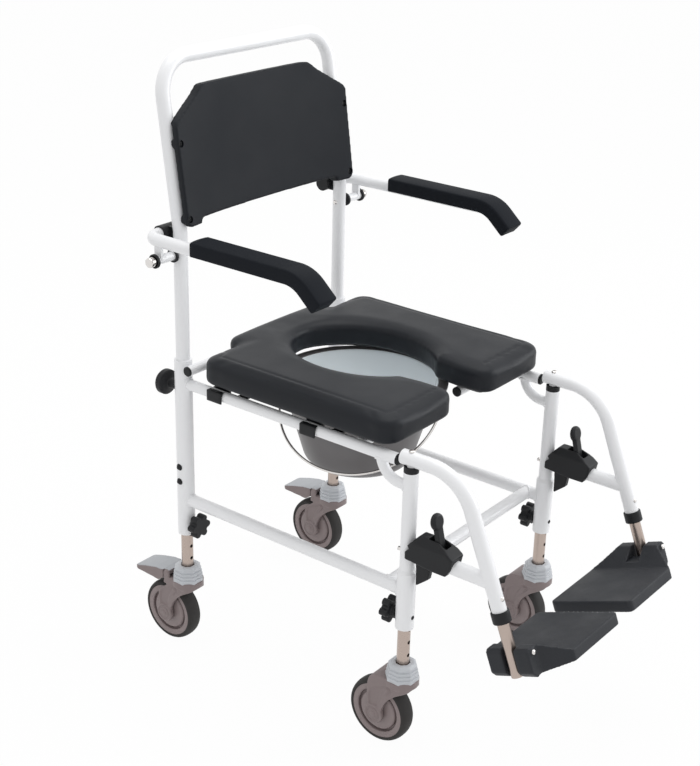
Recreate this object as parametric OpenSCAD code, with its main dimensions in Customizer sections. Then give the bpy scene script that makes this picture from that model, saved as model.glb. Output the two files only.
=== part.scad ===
// Shower commode chair on four swivel castors.
// Telescopic legs, fold-up armrests, swing-away footrests, lift-off seat and slide-out pan.
// +Z is up from the floor, the occupant faces -Y and +X is the occupant's left.

/* [Frame] */
// Distance between the left and right posts, axis to axis
post_span = 436; // [410:1:480]
// Distance between the front and rear posts, axis to axis
post_base = 500; // [470:1:560]
// Height of the lower ends of the posts
post_foot_z = 239; // [230:1:255]
// Diameter of the rear posts and of the sleeves of the front posts
post_d = 32; // [30:0.5:34]
// Diameter of the back frame, the upper front posts and the hangers
tube_d = 25; // [24:0.5:27]
// Diameter of the seat rails
rail_d = 20; // [18:0.5:22]
// Diameter of the lower side rails and their cross bar
low_rail_d = 23; // [20:0.5:25]
// Diameter of the rear cross tube, the front stubs and the rail gussets
cross_d = 18; // [16:0.5:19]
// Wall of the frame tubes
tube_wall = 2; // [1.5:0.1:2.5]
// Height of the axis of the seat rails
rail_z = 540; // [525:1:580]
// Height of the lower rails above the feet of the posts
low_rail_rise = 70; // [66:1:85]
// Height of the thick sleeve of a front post
sleeve_h = 106; // [100:1:115]

/* [Back] */
// Rise of the bend in the back frame above the seat rails
back_bend_rise = 273; // [260:1:310]
// Backward lean of the back frame above its bend
back_lean = 8.3; // [4:0.1:12]
// Length of the back frame from its bend up to the push bar
back_up = 281; // [275:1:320]
// Bend radius of the corners of the push bar
bar_corner_r = 62; // [45:1:80]
// Height of the backrest panel
panel_h = 231; // [210:1:240]
// Thickness of the backrest panel at its middle
panel_t = 14; // [10:0.5:18]
// Depth of the hollow of the backrest panel
panel_hollow = 22; // [12:1:28]

/* [Seat] */
// Thickness of the seat cushion
seat_t = 48; // [40:1:60]
// Reach of the cushion beyond the seat rails, to each side
seat_over = 10; // [4:1:16]
// Length of the cushion in front of the middle of the wheel base
seat_front = 210; // [190:1:220]
// Length of the cushion behind the middle of the wheel base, at its corners
seat_rear = 198; // [180:1:208]
// Half width of the hygiene opening
hole_half_w = 110; // [95:1:120]
// Half width of the slot at the front of the opening
slot_half_w = 50; // [40:1:60]
// Thickness of the seat base board
base_t = 8; // [6:0.5:10]

/* [Pan] */
// Radius of the pan under its rim
pan_r = 142; // [130:1:142]
// Depth of the pan
pan_depth = 156; // [130:1:170]
// Gap from the wall of the pan to the axis of the wire handle
bail_gap = 8; // [6:0.5:12]

/* [Armrests] */
// Distance of an armrest's axis outside the post's axis
arm_out = 52; // [46:1:60]
// Height of the armrest tube above the seat rails
arm_rise = 275; // [250:1:290]
// Diameter of the armrest tube
arm_d = 22; // [20:0.5:24]
// Width of the armrest pad
pad_w = 46; // [40:1:52]
// Thickness of the armrest pad
pad_t = 26; // [24:0.5:32]
// Length of the level part of the armrest pad
pad_len = 202; // [160:1:230]
// Length of the pad's drooping nose
nose_len = 78; // [60:1:95]
// Droop of the pad's nose
nose_droop = 42; // [30:1:50]

/* [Legs and castors] */
// Diameter of the telescopic legs
leg_d = 22; // [20:0.5:22]
// Length of a leg inside its post
leg_insert = 165; // [140:1:168]
// Diameter of the castor wheels
wheel_d = 120; // [110:1:122]
// Width of the castor tyres
tyre_w = 31; // [26:0.5:33]
// Depth of the rubber of the tyres
tyre_t = 9; // [7:0.5:11]
// Distance of the axle behind the swivel axis
trail = 40; // [34:1:44]

/* [Footrests] */
// Bend radius of a hanger
hanger_r = 86; // [75:1:95]
// Length of the level part of a hanger in front of its post
hanger_level = 38; // [30:1:50]
// Length of the straight lower part of a hanger
hanger_drop = 175; // [165:1:190]
// Forward lean of the lower part of a hanger
hanger_lean = 22; // [15:1:26]
// Diameter of the footrest extension
ext_d = 20; // [18:0.5:20]
// Distance from the end of a hanger to the footplate's pivot
ext_out = 60; // [55:1:75]
// Length of a footplate, front to rear
plate_len = 160; // [130:1:180]
// Half of the gap between the two footplates
plate_gap = 20; // [12:1:30]
// Thickness of a footplate's tread
tread_t = 20; // [14:0.5:22]

/* [Hidden] */
$fn = 64;
fine_fn = 360;
// overrun of every cut, clearance of sliding fits, clearance between passing pieces
cut = 1;
fit = 0.1;
pass = 0.4;
// overlap of a straight tube with its bend, and loss of diameter in the bend
lap = 1;
bend_draw = 0.2;

half_span = post_span / 2;
half_base = post_base / 2;
post_r = post_d / 2;
tube_r = tube_d / 2;
rail_r = rail_d / 2;
low_rail_z = post_foot_z + low_rail_rise;
sleeve_top_z = post_foot_z + sleeve_h;
swage_h = 6;
front_post_drop = 13.5;
front_post_top = rail_z - front_post_drop;
rear_post_rise = 45;
rear_post_top = rail_z + rear_post_rise;
rail_plug_back = 27;
rail_front_y = rail_plug_back - half_base;
cross_rise = 32;
cross_over = 14;
rear_cross_y = half_base - post_r - cross_d / 2;
rear_cross_z = rail_z + cross_rise;
low_cross_back = 36;
stub_reach = 148;
gusset_r = 40;
gusset_back = 60;
plug_neck = 12;
plug_head = 4;

// telescopic legs and their clamp knobs
leg_up = 50;
leg_end_gap = 4;
leg_bore_d = leg_d + 2 * fit;
leg_bore_top = post_foot_z + leg_insert + leg_up + leg_end_gap;
leg_hole_d = 7;
leg_hole_pitch = 25;
leg_holes = 6;
knob_rise = 23;
knob_z = post_foot_z + knob_rise;
knob_d = 46;
knob_t = 15;
knob_lobes = 6;
knob_lobe_d = 13;
knob_boss_d = 20;
knob_boss_t = 7;
stud_d = 8;

// back frame
back_web = 2;
back_foot_z = leg_bore_top + back_web;
bend_r = 90;
back_bend_z = rail_z + back_bend_rise;
back_y = half_base + bend_r * (1 - cos(back_lean));
back_z = back_bend_z + bend_r * sin(back_lean);
back_knob_drop = 10;
back_knob_z = rail_z - back_knob_drop;
back_knob_d = 46;
back_knob_t = 20;
back_knob_neck_d = 16;
back_knob_neck = 17;

// backrest panel, in the plane of the leaning tubes
panel_foot = 1;
panel_side = 15;
panel_half_w = half_span + panel_side;
panel_front = 32;
panel_wrap = 15;
panel_shoulder_x = 78;
panel_shoulder_h = 66;
panel_corner_r = 14;
panel_tab_w = 42;
panel_tab_h = 8;
panel_arch = 5;
panel_mid = panel_front - panel_hollow;
panel_front_r = (panel_half_w * panel_half_w + panel_hollow * panel_hollow) / (2 * panel_hollow);
panel_screw_low = 14;
panel_screw_high = 142;
panel_screw_d = 12;
panel_screw_head = 3;
panel_shank_d = 5;

// seat cushion and its board
base_gap = 0.5;
base_z = rail_z + rail_r + base_gap;
cushion_z = base_z + base_t;
seat_half_w = half_span + seat_over;
seat_corner_r = 30;
lip_half_w = 128;
lip_back = 32;
seat_step_r = 0.28 * lip_back;
lip_r = 0.69 * lip_back;
hole_mid_y = 20;
hole_rear = 138;
hole_front = 145;
neck_y = -105;
seat_roll = 18;
seat_tuck = 4;
seat_crown = 3;
seat_dish = 21;
slot_corner_r = 26;
clip_len = 34;
clip_t = 4;
clip_rear_y = 165;
clip_front_y = -45;
clip_fit = 0.3;

// pan, its runners and its wire handle
pan_y = 21;
pan_wall = 2.5;
pan_taper = 0.245;
pan_fillet = 30;
pan_rim = 16;
pan_rim_t = 4;
stub_lead = 4;
stub_y = pan_y - pan_r - pan_rim - stub_lead;
pan_clear = 7;
pan_rim_z = base_z - pan_clear - pan_rim_t;
pan_foot_z = pan_rim_z - pan_depth;
pan_foot_r = pan_r - pan_depth * pan_taper;
pan_turn = 17;
bail_d = 5;
bail_r = pan_r + bail_gap;
bail_tilt = 52;
ear_drop = 40;
ear_z = pan_rim_z - ear_drop;
ear_d = 16;
ear_gap = 2;
ear_tip = 5;
runner_gap = 3;
runner_ledge = 3;
runner_play = 2;
runner_web = 3;
runner_h = 8;
runner_front = 120;
runner_rear = 205;
runner_arm_w = 20;
runner_arm_front = -92;
runner_arm_rear = 120;

// armrests
arm_x = half_span + arm_out;
arm_z = rail_z + arm_rise;
arm_r = arm_d / 2;
arm_bend_r = 26;
sleeve_d = 28;
pivot_y = half_base + tube_r + sleeve_d / 2;
arm_sleeve_in = 15;
arm_sleeve_out = 24;
saddle_w = 20;
saddle_h = 24;
cap_t = 6;
pad_rear_y = 158;
pad_sink = 3;
pad_bend_r = 48;
pad_crown = 3;
pad_end_r = 6;
pad_lip = 1;
pad_groove_r = arm_r + pass;
nose_tube_short = 16;
lock_drop = 34;
lock_d = 16;
lock_bush_d = 20;
lock_bush_t = 5;
lock_in = 18;
lock_web_t = 5;
pin_d = 8;
pin_knob_d = 12;
pin_knob_t = 11;

// castors
wheel_r = wheel_d / 2;
rim_r = wheel_r - tyre_t;
axle_d = 8;
axle_head_d = 14;
axle_head_t = 3;
fork_gap = 2;
fork_arm = 8;
fork_half_w = tyre_w / 2 + fork_gap + fork_arm;
fork_clear = 4;
fork_crown = 21;
fork_top_z = wheel_d + fork_crown;
collar_r = 28;
collar_step = 8;
collar_in = 3;
collar_h = 26;
collar_top_z = fork_top_z + collar_h;
leg_seat = 20;
leg_foot_z = collar_top_z - leg_seat;
hub_disc_r_share = 0.71;
hub_gap = 3;
hub_recess = 6;
hub_bead = 1.5;
hub_boss_r = 12;
tyre_round = 5;
pedal_pin_d = 6;
pedal_pin_y = 33;
pedal_pin_rise = 7;
pedal_tip_y = 130;
pedal_tip_drop = 20;
pedal_top_y = 88;
pedal_top_rise = 15;
pedal_root = 9;
pedal_tip_t = 10;
pedal_ear_t = 5;
pedal_ear_r = 7;
pedal_half_w = fork_half_w - pedal_ear_t - pass;

// footrests
bush_flange = 10;
bush_in = 30;
bush_pin_d = 15;
hanger_z = front_post_top + bush_flange + tube_r;
hanger_bore_d = ext_d + 2 * fit;
hanger_rear = 17;
hanger_arc = 90 - hanger_lean;
hanger_arc_y = -half_base - hanger_level;
drop_y = hanger_arc_y - hanger_r * sin(hanger_arc);
drop_z = hanger_z - hanger_r + hanger_r * cos(hanger_arc);
collar_d = 31;
clamp_h = 20;
clamp_over = 10;
plate_pivot = hanger_drop + ext_out;
plate_y = drop_y - plate_pivot * sin(hanger_lean);
plate_z = drop_z - plate_pivot * cos(hanger_lean);
ext_tail = 42;
ext_in = 110;
link_rise = 41;
link_z = sleeve_top_z + link_rise;
link_t = (drop_z - link_z) / cos(hanger_lean);
link_y = drop_y - link_t * sin(hanger_lean);
latch_front = 98;
latch_half_w = 17;
latch_ring_r = 19;
latch_ring_h = 15;
latch_ring_drop = 24;
latch_open = 18;
latch_tab_w = 18;
latch_tab_in = 3;
latch_tab_drop = 38;
latch_socket = 14;
latch_stud_d = 7;
latch_stud_out = 6;
lever_back = 68;
lever_pin_rise = 26;
lever_h = 54;
lever_head_d = 23;
lever_t = 9;
lever_neck_w = 13;
lever_tilt = 12;
lever_slot = lever_t + 2 * pass;
lug_len = 82;
lug_slot = 12;
lug_up = 8;
lug_out = 12;
tread_drop = 19;
ramp_start = 53;
plate_reach = half_span - plate_gap;
bolt_d = 8;
bolt_head_d = 14;
bolt_head_t = 4;
plate_edge_r = 10;

// screws through the rear posts
bolt_rises = [110, 139];
cap_d = 13;
cap_head = 4;
screw_d = 6;

// shift that puts the origin under the middle of the whole chair
front_reach = -plate_y + plate_len / 2 * cos(hanger_lean) + (tread_drop + tread_t) * sin(hanger_lean);
rear_reach = half_base + pedal_tip_y;
origin_y = (front_reach - rear_reach) / 2;

white = [0.90, 0.91, 0.94];
black = [0.17, 0.18, 0.20];
silver = [0.72, 0.68, 0.65];
grey = [0.56, 0.56, 0.58];
rubber = [0.20, 0.20, 0.20];
pan_grey = [0.55, 0.56, 0.58];

// Points along an arc
function arc(c, r, a0, a1, n) = [for (i = [0:n]) let (a = a0 + (a1 - a0) * i / n) c + r * [cos(a), sin(a)]];

// Closed curve that runs smoothly through a ring of points
function curve_at(p0, p1, p2, p3, t) = 0.5 * (2 * p1 + (p2 - p0) * t
    + (2 * p0 - 5 * p1 + 4 * p2 - p3) * t * t + (3 * p1 - p0 - 3 * p2 + p3) * t * t * t);
function smooth(p, n) = let (m = len(p)) [for (i = [0:m - 1]) for (k = [0:n - 1])
    curve_at(p[(i + m - 1) % m], p[i], p[(i + 1) % m], p[(i + 2) % m], k / n)];

// Ring of points moved inwards by d, for a ring that runs anticlockwise
function inset(p, d) = let (m = len(p)) [for (i = [0:m - 1]) let (
    t = p[(i + 1) % m] - p[(i + m - 1) % m], l = norm(t)) p[i] + d * [-t[1], t[0]] / l];

function reversed(p) = [for (i = [len(p) - 1:-1:0]) p[i]];
function mirrored(p) = [for (q = p) [-q[0], q[1]]];

// Triangles between two chains of points that run side by side
function zipped(a, b, i, j) = let (p = len(a) - 1, q = len(b) - 1) i == p && j == q ? []
    : j == q || (i < p && i * q <= j * p) ? concat([[a[i], a[i + 1], b[j]]], zipped(a, b, i + 1, j))
    : concat([[a[i], b[j + 1], b[j]]], zipped(a, b, i, j + 1));

// Skin over a stack of equal rings. Each ring is an outer chain of points and an inner one back to its start,
// and the first and last ring are closed between the two
module loft(rings, outer) {
    m = len(rings[0]);
    n = len(rings);
    walls = [for (j = [0:n - 2]) for (i = [0:m - 1]) let (
        a = j * m + i, b = j * m + (i + 1) % m) each [[a, a + m, b], [b, a + m, b + m]]];
    foot = zipped([for (i = [0:outer - 1]) i], [for (i = [m - 1:-1:outer]) i], 0, 0);
    head = [for (t = foot) [for (k = [2:-1:0]) (n - 1) * m + t[k]]];
    polyhedron([for (r = rings) each r], concat(walls, foot, head), convexity = 8);
}

module placed() {
    translate([0, origin_y, 0]) children();
}

// Pieces are drawn on the right, at -X. The left ones are their mirror image
module on_side(left) {
    placed() mirror([left ? 1 : 0, 0, 0]) children();
}

module both_sides() {
    placed() {
        children();
        mirror([1, 0, 0]) children();
    }
}

module along_x() {
    rotate([0, 90, 0]) children();
}

module along_y() {
    rotate([-90, 0, 0]) children();
}

// Turns a drawing so that its x is the chair's Y and its y is the chair's Z
module side_plane() {
    rotate([90, 0, 90]) children();
}

module pipe(d, bore, h) {
    difference() {
        cylinder(d = d, h = h);
        translate([0, 0, -cut]) cylinder(d = bore, h = h + 2 * cut);
    }
}

// Bend in a tube, drawn a little thinner, as bending does
module bend(d, r, a0, a1) {
    rotate([0, 0, a0]) rotate_extrude(angle = a1 - a0) translate([r, 0]) circle(d = d - bend_draw);
}

// Places along the right side
module at_rear_post() {
    translate([-half_span, half_base, 0]) children();
}

module at_front_post() {
    translate([-half_span, -half_base, 0]) children();
}

module post_space() {
    at_rear_post() cylinder(d = post_d, h = rear_post_top);
    at_front_post() cylinder(d = post_d, h = sleeve_top_z);
}

module rear_posts() {
    color(white) both_sides() at_rear_post() difference() {
        translate([0, 0, post_foot_z]) cylinder(d = post_d, h = rear_post_top - post_foot_z);
        translate([0, 0, post_foot_z - cut]) cylinder(d = leg_bore_d, h = leg_bore_top - post_foot_z + cut);
        translate([0, 0, back_foot_z]) cylinder(d = tube_d + 2 * fit, h = rear_post_top - back_foot_z + cut);
        translate([0, -post_r - cut, knob_z]) along_y() cylinder(d = stud_d + 2 * fit, h = post_r + cut);
        translate([0, 0, back_knob_z]) along_y() cylinder(d = stud_d + 2 * fit, h = post_r + cut);
        for (rise = bolt_rises) translate([-post_r - cut, 0, post_foot_z + rise]) along_x()
            cylinder(d = screw_d + 2 * fit, h = post_d + 2 * cut);
    }
}

module front_posts() {
    color(white) both_sides() at_front_post() difference() {
        union() {
            translate([0, 0, post_foot_z]) cylinder(d = post_d, h = sleeve_h);
            translate([0, 0, sleeve_top_z]) cylinder(d1 = post_d, d2 = tube_d, h = swage_h);
            translate([0, 0, sleeve_top_z]) cylinder(d = tube_d, h = front_post_top - sleeve_top_z);
        }
        translate([0, 0, post_foot_z - cut])
            cylinder(d = leg_bore_d, h = front_post_top - post_foot_z + 2 * cut);
        translate([0, 0, knob_z]) along_y() cylinder(d = stud_d + 2 * fit, h = post_r + cut);
        translate([0, 0, latch_stud_z]) along_y() cylinder(d = latch_stud_d, h = post_r + cut);
    }
}

module seat_rails() {
    color(white) both_sides() difference() {
        translate([-half_span, rail_front_y, rail_z]) along_y()
            pipe(rail_d, rail_d - 2 * tube_wall, half_base - rail_front_y);
        post_space();
    }
}

module gusset_path(d) {
    translate([-half_span, 0, 0]) side_plane() {
        translate([gusset_back - half_base - gusset_r, rail_z]) bend(d, gusset_r, -90, 0);
        translate([-half_base, rail_z - gusset_r]) along_x()
            cylinder(d = d, h = gusset_back - gusset_r + lap);
    }
}

module rail_gussets() {
    color(white) both_sides() difference() {
        gusset_path(cross_d);
        gusset_path(cross_d - 2 * tube_wall);
        translate([-half_span, -half_base, rail_z]) along_y() cylinder(d = rail_d, h = post_base);
        at_front_post() cylinder(d = tube_d, h = front_post_top);
    }
}

module lower_rails() {
    color(white) both_sides() difference() {
        translate([-half_span, -half_base, low_rail_z]) along_y()
            pipe(low_rail_d, low_rail_d - 2 * tube_wall, post_base);
        post_space();
    }
}

module cross_tubes() {
    bore = cross_d - 2 * tube_wall;
    color(white) placed() {
        translate([-half_span - cross_over, rear_cross_y, rear_cross_z]) along_x()
            pipe(cross_d, bore, post_span + 2 * cross_over);
        difference() {
            translate([-half_span, low_cross_back - half_base, low_rail_z]) along_x()
                pipe(low_rail_d, low_rail_d - 2 * tube_wall, post_span);
            for (x = [-half_span, half_span]) translate([x, -half_base, low_rail_z]) along_y()
                cylinder(d = low_rail_d, h = post_base);
        }
        for (turn = [0, 1]) mirror([turn, 0, 0]) difference() {
            translate([-half_span, stub_y, rail_z]) along_x() pipe(cross_d, bore, stub_reach);
            translate([-half_span, -half_base, rail_z]) along_y() cylinder(d = rail_d, h = post_base);
        }
    }
}

// Plane of the leaning back tubes, from the end of their bend
module back_plane() {
    translate([0, back_y, back_z]) rotate([-back_lean, 0, 0]) children();
}

// Path of the back frame as a solid bar of any diameter
module back_path(d, foot) {
    up = back_up - bar_corner_r;
    for (turn = [0, 1]) mirror([turn, 0, 0]) {
        translate([-half_span, half_base, back_foot_z - foot])
            cylinder(d = d, h = back_bend_z - back_foot_z + foot + lap);
        translate([-half_span, 0, 0]) side_plane() translate([half_base + bend_r, back_bend_z])
            bend(d, bend_r, 180 - back_lean, 180);
        back_plane() {
            translate([-half_span, 0, -lap]) cylinder(d = d, h = up + 2 * lap);
            rotate([90, 0, 0]) translate([bar_corner_r - half_span, up]) bend(d, bar_corner_r, 90, 180);
        }
    }
    back_plane() translate([bar_corner_r - half_span - lap, 0, back_up]) along_x()
        cylinder(d = d, h = post_span - 2 * bar_corner_r + 2 * lap);
}

module push_bar() {
    color(white) placed() difference() {
        back_path(tube_d, 0);
        back_path(tube_d - 2 * tube_wall, cut);
    }
}

// Section across the panel: a hollow front, an even wall and channels round the tubes
function panel_y(x, r) = -panel_mid - panel_front_r + sqrt(r * r - x * x);
function panel_section() = let (
    hw = panel_half_w, bw = half_span - panel_wrap, n = 24, back_r = panel_front_r + panel_t,
    front = [for (i = [0:n]) let (x = hw * (2 * i / n - 1)) [x, panel_y(x, panel_front_r)]],
    back = [for (i = [0:n]) let (x = bw * (1 - 2 * i / n)) [x, panel_y(x, back_r)]]) concat(
    front, [[hw, 0]], arc([half_span, 0], tube_r + fit, 0, -180, 16), [[bw, 0]],
    back, [[-bw, 0]], arc([-half_span, 0], tube_r + fit, 0, -180, 16), [[-hw, 0]]);

// Outline seen from the front: sloping shoulders, a low arch between two tabs
module panel_outline() {
    half = concat(
        arc([panel_half_w - panel_tab_w, panel_tab_h + panel_arch], panel_arch, 180, 270, 4),
        arc([panel_half_w - panel_corner_r, panel_corner_r], panel_corner_r, 270, 360, 6),
        [[panel_half_w, panel_h - panel_shoulder_h - panel_corner_r]],
        [[panel_half_w - panel_corner_r / 2, panel_h - panel_shoulder_h]],
        arc([panel_half_w - panel_shoulder_x, panel_h - panel_corner_r], panel_corner_r, 45, 90, 5));
    translate([0, panel_foot])
        polygon(concat(half, [for (i = [len(half) - 1:-1:0]) [-half[i][0], half[i][1]]]));
}

module backrest_panel() {
    color(black) placed() back_plane() difference() {
        intersection() {
            linear_extrude(back_up) polygon(panel_section());
            translate([0, panel_front, 0]) rotate([90, 0, 0]) linear_extrude(2 * panel_front) panel_outline();
        }
        panel_screw_places() cylinder(d = panel_shank_d + 2 * fit, h = 2 * panel_front, center = true);
        panel_screw_places() translate([0, 0, panel_front - panel_screw_head - cut])
            cylinder(d = panel_screw_d + 2 * fit, h = panel_front);
    }
}

module panel_screw_places() {
    for (turn = [0, 1]) mirror([turn, 0, 0]) for (z = [panel_screw_low, panel_screw_high])
        translate([-half_span, 0, z]) rotate([90, 0, 0]) children();
}

module backrest_screws() {
    color(black) placed() back_plane() panel_screw_places() {
        translate([0, 0, tube_r]) cylinder(d = panel_shank_d, h = panel_front - tube_r - panel_screw_head);
        translate([0, 0, panel_front - panel_screw_head - cut])
            cylinder(d = panel_screw_d, h = panel_screw_head);
    }
}

// Black plug with a domed head, its neck in the tube's bore and its head towards +Z
module plug(d) {
    translate([0, 0, -plug_neck]) cylinder(d = d - 2 * tube_wall - 2 * fit, h = plug_neck);
    cylinder(d = d, h = plug_head / 2);
    translate([0, 0, plug_head / 2]) cylinder(d1 = d, d2 = d - plug_head, h = plug_head / 2);
}

module tube_plugs() {
    color(black) both_sides() {
        translate([-half_span, rail_front_y, rail_z]) rotate([90, 0, 0]) plug(rail_d);
        translate([-half_span - cross_over, rear_cross_y, rear_cross_z]) rotate([0, -90, 0]) plug(cross_d);
        translate([stub_reach - half_span, stub_y, rail_z]) along_x() plug(cross_d);
    }
}

module post_bushes() {
    color(black) both_sides() at_front_post() translate([0, 0, front_post_top]) difference() {
        union() {
            translate([0, 0, -bush_in]) cylinder(d = leg_bore_d, h = bush_in);
            cylinder(d = tube_d, h = bush_flange - pass);
        }
        translate([0, 0, -bush_in - cut])
            cylinder(d = bush_pin_d + 2 * fit, h = bush_in + bush_flange + 2 * cut);
    }
}

module frame_bolts() {
    wall = post_r - leg_bore_d / 2;
    color(black) both_sides() {
        at_rear_post() for (rise = bolt_rises) translate([0, 0, post_foot_z + rise]) for (turn = [0, 180])
            rotate([0, 0, turn]) translate([-post_r, 0, 0]) {
                along_x() cylinder(d = screw_d, h = wall - pass);
                rotate([0, -90, 0]) cylinder(d1 = cap_d, d2 = screw_d, h = cap_head);
            }
        at_front_post() translate([0, leg_bore_d / 2 + pass, latch_stud_z]) along_y()
            cylinder(d = latch_stud_d, h = tube_r - leg_bore_d / 2 - pass + latch_stud_out);
    }
}

module armrest_sleeves() {
    length = arm_sleeve_in + arm_sleeve_out;
    color(black) both_sides() difference() {
        union() {
            translate([-half_span - arm_sleeve_out, pivot_y, arm_z]) along_x()
                cylinder(d = sleeve_d, h = length);
            translate([-half_span - saddle_w / 2, half_base, arm_z - saddle_h / 2])
                cube([saddle_w, pivot_y - half_base, saddle_h]);
        }
        translate([-half_span - arm_sleeve_out - cut, pivot_y, arm_z]) along_x()
            cylinder(d = arm_d + 2 * fit, h = length + 2 * cut);
        back_path(tube_d, 0);
    }
}

// Angle rails under the seat that carry the rim of the pan, with arms to the seat rails
module pan_runners() {
    x = pan_r + runner_gap;
    ledge = pan_rim - runner_gap + runner_play;
    ledge_z = pan_rim_z - pass - runner_ledge;
    color(black) both_sides() difference() {
        union() {
            translate([-x - ledge, pan_y - runner_front, ledge_z])
                cube([ledge, runner_front + runner_rear - pan_y, runner_ledge]);
            translate([-x - ledge - runner_web, pan_y - runner_front, ledge_z])
                cube([runner_web, runner_front + runner_rear - pan_y, runner_h]);
            for (y = [runner_arm_front, runner_arm_rear]) translate([-half_span, y, ledge_z])
                cube([half_span - x - ledge, runner_arm_w, runner_ledge]);
        }
        translate([-half_span, -half_base, rail_z]) along_y() cylinder(d = rail_d, h = post_base);
    }
}

// Right half of the hygiene opening, from its rear end to the front of the slot
function hole_half() = concat(
    [for (i = [1:9]) let (a = 90 * i / 9) [-hole_half_w * sin(a), hole_mid_y + hole_rear * cos(a)]],
    [for (i = [1:6]) let (a = asin((hole_mid_y - neck_y) / hole_front) * i / 6)
        [-hole_half_w * cos(a), hole_mid_y - hole_front * sin(a)]],
    [[-(hole_neck_w() + slot_half_w) / 2, neck_y - seat_dish], [-slot_half_w, neck_y - 2 * seat_dish]]);
function hole_neck_w() = hole_half_w * cos(asin((hole_mid_y - neck_y) / hole_front));

// Right half of the cushion's outline, from the front of the slot to the middle of the rear edge
function rim_half() = concat(
    arc([-slot_half_w - slot_corner_r, -seat_front + slot_corner_r], slot_corner_r, 0, -90, 5),
    arc([-seat_half_w + seat_corner_r, -seat_front + seat_corner_r], seat_corner_r, 270, 180, 6),
    [for (i = [1:5]) [-seat_half_w, -seat_front + seat_corner_r + (seat_front + seat_rear
        - 2 * seat_corner_r) * i / 6]],
    arc([-seat_half_w + seat_corner_r, seat_rear - seat_corner_r], seat_corner_r, 180, 90, 6),
    arc([-lip_half_w - seat_step_r, seat_rear + seat_step_r], seat_step_r, 270, 360, 4),
    arc([-lip_half_w + lip_r, seat_rear + lip_back - lip_r], lip_r, 180, 90, 5),
    [[-lip_half_w / 2, seat_rear + lip_back]]);

// Whole outline, anticlockwise: the rim from the left of the slot to its right, then the opening and back
function seat_rim() = concat(mirrored(rim_half()), [[0, seat_rear + lip_back]], reversed(rim_half()));
function seat_hole() = concat(reversed(hole_half()), [[0, hole_mid_y + hole_rear]], mirrored(hole_half()));
function seat_outline() = concat(seat_rim(), seat_hole());

module seat_cushion() {
    ring = seat_outline();
    steps = [[seat_tuck, 0], [0, seat_roll / 2], [seat_tuck / 2, seat_t / 2], [0, seat_t - seat_roll],
        [seat_roll * (1 - cos(35)), seat_t - seat_roll + (seat_roll - seat_crown) * sin(35)],
        [seat_roll * (1 - cos(65)), seat_t - seat_roll + (seat_roll - seat_crown) * sin(65)],
        [seat_roll, seat_t - seat_crown], [seat_dish, seat_t]];
    color(black) placed() difference() {
        loft([for (s = steps) [for (p = inset(ring, s[0])) [p[0], p[1], cushion_z + s[1]]]], len(seat_rim()));
        translate([-seat_half_w, rear_cross_y - cross_d / 2 - 2 * pass, cushion_z - cut])
            cube([2 * seat_half_w, 2 * cross_d + lip_back, cut + lip_cut()]);
    }
}

// Height of the underside of the rear lip, just above the rear cross tube
function lip_cut() = max(0, rear_cross_z + cross_d / 2 + pass - cushion_z);

module seat_base() {
    ring = seat_outline();
    color(black) {
        placed() translate([0, 0, base_z]) linear_extrude(base_t) polygon(inset(ring, seat_roll));
        both_sides() for (y = [clip_front_y, clip_rear_y]) translate([-half_span, y - clip_len / 2, 0])
            difference() {
            translate([-rail_r - clip_fit - clip_t, 0, rail_z - rail_r])
                cube([2 * (rail_r + clip_fit + clip_t), clip_len, base_z - rail_z + rail_r]);
            translate([0, -cut, rail_z]) along_y()
                cylinder(d = rail_d + 2 * clip_fit, h = clip_len + 2 * cut);
            translate([-rail_r - clip_fit, -cut, rail_z - rail_r - cut])
                cube([rail_d + 2 * clip_fit, clip_len + 2 * cut, rail_r + cut]);
        }
    }
}

// Half section of the pan: foot, rounded corner, tapering wall and rim
function pan_profile(grow) = concat([[0, pan_foot_z + pan_wall - grow]],
    arc([pan_foot_r - pan_fillet, pan_foot_z + pan_fillet], pan_fillet - pan_wall + grow, -90,
        -atan(pan_taper), 8),
    [[pan_r - pan_wall + grow, pan_rim_z]]);

module commode_pan() {
    color(pan_grey) placed() translate([0, pan_y, 0]) {
        rotate_extrude($fn = fine_fn / 3) difference() {
            union() {
                polygon(concat(pan_profile(pan_wall), [[0, pan_rim_z]]));
                translate([0, pan_rim_z]) square([pan_r + pan_rim, pan_rim_t]);
            }
            polygon(concat(pan_profile(0), [[pan_r - pan_wall, pan_rim_z + pan_rim_t + cut],
                [0, pan_rim_z + pan_rim_t + cut]]));
        }
        rotate([0, 0, pan_turn]) for (turn = [0, 180]) rotate([0, 0, turn]) difference() {
            translate([0, bail_r - bail_d / 2 - ear_gap, ear_z]) rotate([90, 0, 0])
                cylinder(d = ear_d, h = bail_r - bail_d / 2 - ear_gap - pan_r + ear_drop * pan_taper
                    + pan_wall);
            translate([0, bail_r, ear_z]) rotate([90, 0, 0])
                cylinder(d = bail_d + 2 * fit, h = ear_tip + ear_gap + bail_d);
            translate([0, 0, pan_foot_z])
                cylinder(r1 = pan_foot_r - pan_wall, r2 = pan_r - pan_wall, h = pan_depth);
        }
    }
}

module pan_handle() {
    color(silver) placed() translate([0, pan_y, ear_z]) rotate([0, 0, pan_turn]) rotate([0, bail_tilt, 0]) {
        rotate([0, 90, 0]) rotate([0, 0, -90]) bend(bail_d, bail_r, 0, 180);
        for (turn = [0, 180]) rotate([0, 0, turn]) translate([0, bail_r + bail_d / 2, 0]) rotate([90, 0, 0])
            cylinder(d = bail_d, h = bail_d + ear_gap + ear_tip);
    }
}

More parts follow.
